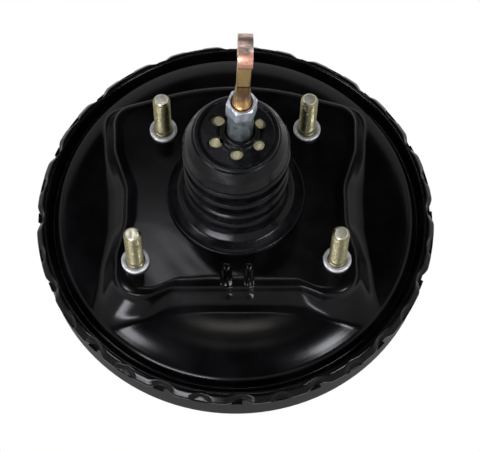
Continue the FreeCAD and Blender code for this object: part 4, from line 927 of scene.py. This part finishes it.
FLATS, HEX_TURN, COUPLING_PLACES = 14.4, math.radians(-81), 360
lathe_cut = np.array(finer([
    (3.85, 70.0), (6.6, 70.0), (6.9, 70.3), (6.9, 93.4), (7.1, 93.9), (7.6, 94.0), (8.5, 94.8),
    (8.5, 105.1), (7.3, 106.0), (6.0, 106.0), (5.5, 105.4), (5.45, 99.0), (3.85, 99.0)],
    longest=0.35))
around = np.arange(COUPLING_PLACES) * 2 * math.pi / COUPLING_PLACES
from_flat = (around - HEX_TURN + math.pi / 6) % (math.pi / 3) - math.pi / 6
milled = FLATS / 2 / np.cos(from_flat)
coupling_radii = np.minimum(lathe_cut[:, :1], milled)
coupling_heights = np.repeat(lathe_cut[:, 1:], COUPLING_PLACES, axis=1)
coupling = skin_rings("coupling_milled", coupling_radii, coupling_heights, coupling_plate_and_hex_reflection)
face_outwards(coupling)
leaning(coupling)
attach(coupling, "adjuster")
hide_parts("adjuster_sleeve")
print("Coupling:", len(coupling.data.polygons), "faces")

# %% [markdown]
# ## The rod's eye
#
# The forged eye has the right outline in the CAD model, but every edge there is perfectly sharp,
# and a sharp edge never shines. So its mesh is copied and its loose triangles are merged into
# plain faces. Under the round eye the bar is pinched a little on both sides, and then a narrow
# bevel rounds every edge that a hand would feel.

# %% Forge the eye
BAR_BOTTOM, BAR_TOP, BAR_HALF, BAR_SLOPE = 120, 148.4, 3.35, 0.6
work = bmesh.new()
work.from_mesh(frame["nodes"]["rod_eye"].data)
bmesh.ops.remove_doubles(work, verts=work.verts, dist=0.001 * MM)
bmesh.ops.dissolve_limit(work, angle_limit=math.radians(2), verts=work.verts, edges=work.edges)
for level in (BAR_TOP, BAR_TOP + BAR_SLOPE):
    everything = list(work.verts) + list(work.edges) + list(work.faces)
    bmesh.ops.bisect_plane(work, geom=everything, plane_co=(0, 0, level * MM), plane_no=(0, 0, 1))
for point in work.verts:
    side = point.co.x / MM - point.co.z / MM * math.tan(LEAN)
    if BAR_BOTTOM < point.co.z / MM < BAR_TOP + BAR_SLOPE / 2 and abs(side) > BAR_HALF:
        point.co.x += (math.copysign(BAR_HALF, side) - side) * MM
mesh = bpy.data.meshes.new("rod_eye_forged")
work.to_mesh(mesh)
work.free()
mesh.materials.clear()
mesh.materials.append(eye_plate_and_painted_light)
rod_eye = add_object("rod_eye_forged", mesh)
edge = rod_eye.modifiers.new("soft edges", "BEVEL")
edge.width, edge.segments = 0.6 * MM, 3
edge.limit_method, edge.angle_limit = "ANGLE", math.radians(35)
keep_result(rod_eye)
rod_eye.data.shade_smooth()
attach(rod_eye, "eye")
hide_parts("rod_eye")
print("Eye:", len(rod_eye.data.polygons), "faces")

# %% [markdown]
# ## Felt behind the air holes
#
# The felt ring is what one sees through the boot's air holes. It bulges up to just under the
# rubber, so light reaches it and the holes look filled.

# %% Lay the felt
felt_section = [(9.4, 66.0), (10.6, 64.1), (18.2, 64.1, 0.4), (18.2, 69.9, 0.8), (9.4, 69.9, 0.4)]
felt = turned("felt_ring", felt_section, felt_wool, places=120)
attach(felt, "piston")
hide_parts("silencer_felt")
print("Felt:", len(felt.data.polygons), "faces")

# %% [markdown]
# ## The springs
#
# A coil can't follow a slide as a stiff body: one end stays on its seat while the other is pushed.
# Here each coil is a plain copy of the CAD one, in dark spring wire, on the body that holds it;
# it keeps its length as the joints move.

# %% Copy the springs
COILS = [("return_spring", "housing", "piston_stroke", 30.0),
         ("valve_return_spring", "piston", "plunger_travel", 1.8),
         ("poppet_spring", "piston", "plunger_travel", 1.8),
         ("check_valve_spring", "housing", "check_valve_lift", 1.5)]
for node, body, joint, travel in COILS:
    coil = add_object(node + "_coil", frame["nodes"][node].data.copy())
    coil.data.materials.clear()
    coil.data.materials.append(spring_wire)
    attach(coil, body)
    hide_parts(node)
    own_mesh(coil)

# %% [markdown]
# ## Finishes for the CAD pieces
#
# The drum's front shell and the inner pieces keep their CAD shape. Each takes the finish that its
# material slot in the record names, so the choice is made once for a whole family of pieces.

# %% Paint the CAD pieces
finish_of_slot = {
    "black_paint": drum_paint, "plain_steel": bare_steel, "spring_steel": spring_wire,
    "yellow_zinc": stud_plate_and_tip_highlight, "pale_zinc": collar_plate, "blue_zinc": coupling_plate_and_hex_reflection,
    "copper_zinc": eye_plate_and_painted_light, "boot_rubber": boot_rubber, "seal_rubber": seal_rubber,
    "phenolic": hub_phenolic, "black_nylon": key_nylon, "foam": filter_foam, "felt": felt_wool}
for subpart in frame["record"]["subparts"]:
    piece = frame["nodes"][subpart["node"]]
    piece.data.materials.clear()
    piece.data.materials.append(finish_of_slot[subpart["material_slot"]])

# %% [markdown]
# ## Studio
#
# The booster lies on a white sheet, with a white wall all round at the floor's edge. To the camera
# and in reflections both are pure white, which the Light Path node decides. To everything else
# they are plain white card, so they still take the shadow and add no light of their own.

# %% Lay the floor
floor_paint = bpy.data.materials.new("White floor")
floor_paint.use_nodes = True
tree = floor_paint.node_tree
path = tree.nodes.new("ShaderNodeLightPath")
seen = Number(tree, path.outputs["Is Camera Ray"]).math(
    "MAXIMUM", Number(tree, path.outputs["Is Glossy Ray"])).math(
    "MAXIMUM", Number(tree, path.outputs["Is Transmission Ray"]))
card = tree.nodes["Principled BSDF"]
card.inputs["Base Color"].default_value = (0.8, 0.8, 0.8, 1)
card.inputs["Roughness"].default_value = 0.9
glow = add_node(tree, "ShaderNodeEmission", Color=(1, 1, 1, 1), Strength=1.0)
both = tree.nodes.new("ShaderNodeMixShader")
plug(tree, seen, both.inputs[0])
tree.links.new(card.outputs[0], both.inputs[1])
tree.links.new(glow.outputs[0], both.inputs[2])
tree.links.new(both.outputs[0], tree.nodes["Material Output"].inputs["Surface"])

FLOOR_SIZE, FLOOR_GAP = 6, 0.0005
BACKDROP_RADIUS, BACKDROP_HEIGHT = 2.9, 1.5
bpy.ops.mesh.primitive_plane_add(size=FLOOR_SIZE, location=(0, 0, cad_low[2] - FLOOR_GAP))
floor = bpy.context.object
floor.name = "floor"
floor.data.materials.append(floor_paint)
bpy.ops.mesh.primitive_cylinder_add(vertices=96, radius=BACKDROP_RADIUS, depth=BACKDROP_HEIGHT,
                                    end_fill_type="NOTHING",
                                    location=(0, 0, cad_low[2] + BACKDROP_HEIGHT / 2))
backdrop = bpy.context.object
backdrop.name = "backdrop"
backdrop.data.materials.append(floor_paint)

world = bpy.data.worlds.new("Studio")
bpy.context.scene.world = world
world.use_nodes = True
sky = world.node_tree.nodes["Background"]
sky.inputs["Color"].default_value = (1, 1, 1, 1)
sky.inputs["Strength"].default_value = 0.05
print("Floor at", round(cad_low[2] / MM, 1), "mm")

# %% [markdown]
# ## Lamps
#
# Gloss black shows only what stands round it, so each lamp is placed for the one light that it
# draws on the paint. The left and right boxes draw the bright shoulders of the dome. The overhead
# strip draws the warm crescent between them, and the back box the sheen on the flat seat. The
# front box stands low, so that only the rim's slope and the drum's wall see it.

# %% Set the lamps
def soft_box(name, place, aim, width, height, power, colour):
    """An area lamp at place, turned to face aim, with sizes in metres."""
    lamp = bpy.data.lights.new(name, "AREA")
    lamp.shape = "RECTANGLE"
    lamp.size, lamp.size_y = width, height
    lamp.energy, lamp.color = power, colour
    thing = add_object(name, lamp)
    thing.location = place
    thing.rotation_euler = (Vector(aim) - Vector(place)).to_track_quat("-Z", "Y").to_euler()
    thing.visible_camera = False
    print(name, "gives", power, "W")


soft_box("left_box", (-0.62, -0.30, 0.80), (0, 0, 0), 0.24, 0.24, 6.5, (0.93, 0.94, 1.0))
soft_box("right_box", (0.55, -0.42, 0.80), (0, 0, 0), 0.20, 0.20, 6.5, (0.94, 0.95, 1.0))
soft_box("overhead_strip", (0.0, 0.03, 1.15), (0, -0.07, 0), 0.28, 0.02, 0.8, (1.0, 0.97, 0.88))
soft_box("back_box", (-0.085, 0.39, 1.02), (0, 0, 0), 0.09, 0.08, 0.55, (0.94, 0.95, 1.0))
soft_box("front_box", (-0.44, -0.88, 0.10), (0, 0, -0.03), 0.60, 0.12, 9.0, (0.92, 0.91, 1.0))

# %% [markdown]
# ## Camera
#
# The photograph was taken from the pedal side, steeply from above, with a long lens. The camera
# stands where the four studs and the two circles of rim and boot fall on the photograph's.

# %% Place the camera
PICTURE_WIDTH, FOCAL_PIXELS, SHIFT_PIXELS = 480, 1600, (4.23, -32.27)
FILM_WIDTH, DISTANCE = 36, 917.86
ELEVATION, AZIMUTH, ROLL = math.radians(63.45), math.radians(-1.05), math.radians(0.67)
back = Vector((math.sin(AZIMUTH) * math.cos(ELEVATION), -math.cos(AZIMUTH) * math.cos(ELEVATION),
               math.sin(ELEVATION)))
level_right = Vector((math.cos(AZIMUTH), math.sin(AZIMUTH), 0))
level_up = back.cross(level_right)
right = level_right * math.cos(ROLL) + level_up * math.sin(ROLL)
up = level_up * math.cos(ROLL) - level_right * math.sin(ROLL)
lens = bpy.data.cameras.new("camera")
lens.sensor_fit = "HORIZONTAL"
lens.sensor_width = FILM_WIDTH
lens.lens = FOCAL_PIXELS / PICTURE_WIDTH * FILM_WIDTH
lens.shift_x, lens.shift_y = (shift / PICTURE_WIDTH for shift in SHIFT_PIXELS)
lens.clip_end = 20
camera = add_object("camera", lens)
turn = Matrix((right, up, back)).transposed()
camera.matrix_world = Matrix.Translation(back * DISTANCE * MM) @ turn.to_4x4()
bpy.context.scene.camera = camera
bpy.context.scene.view_settings.view_transform = "Standard"
print("Camera at", [round(value, 3) for value in camera.location])
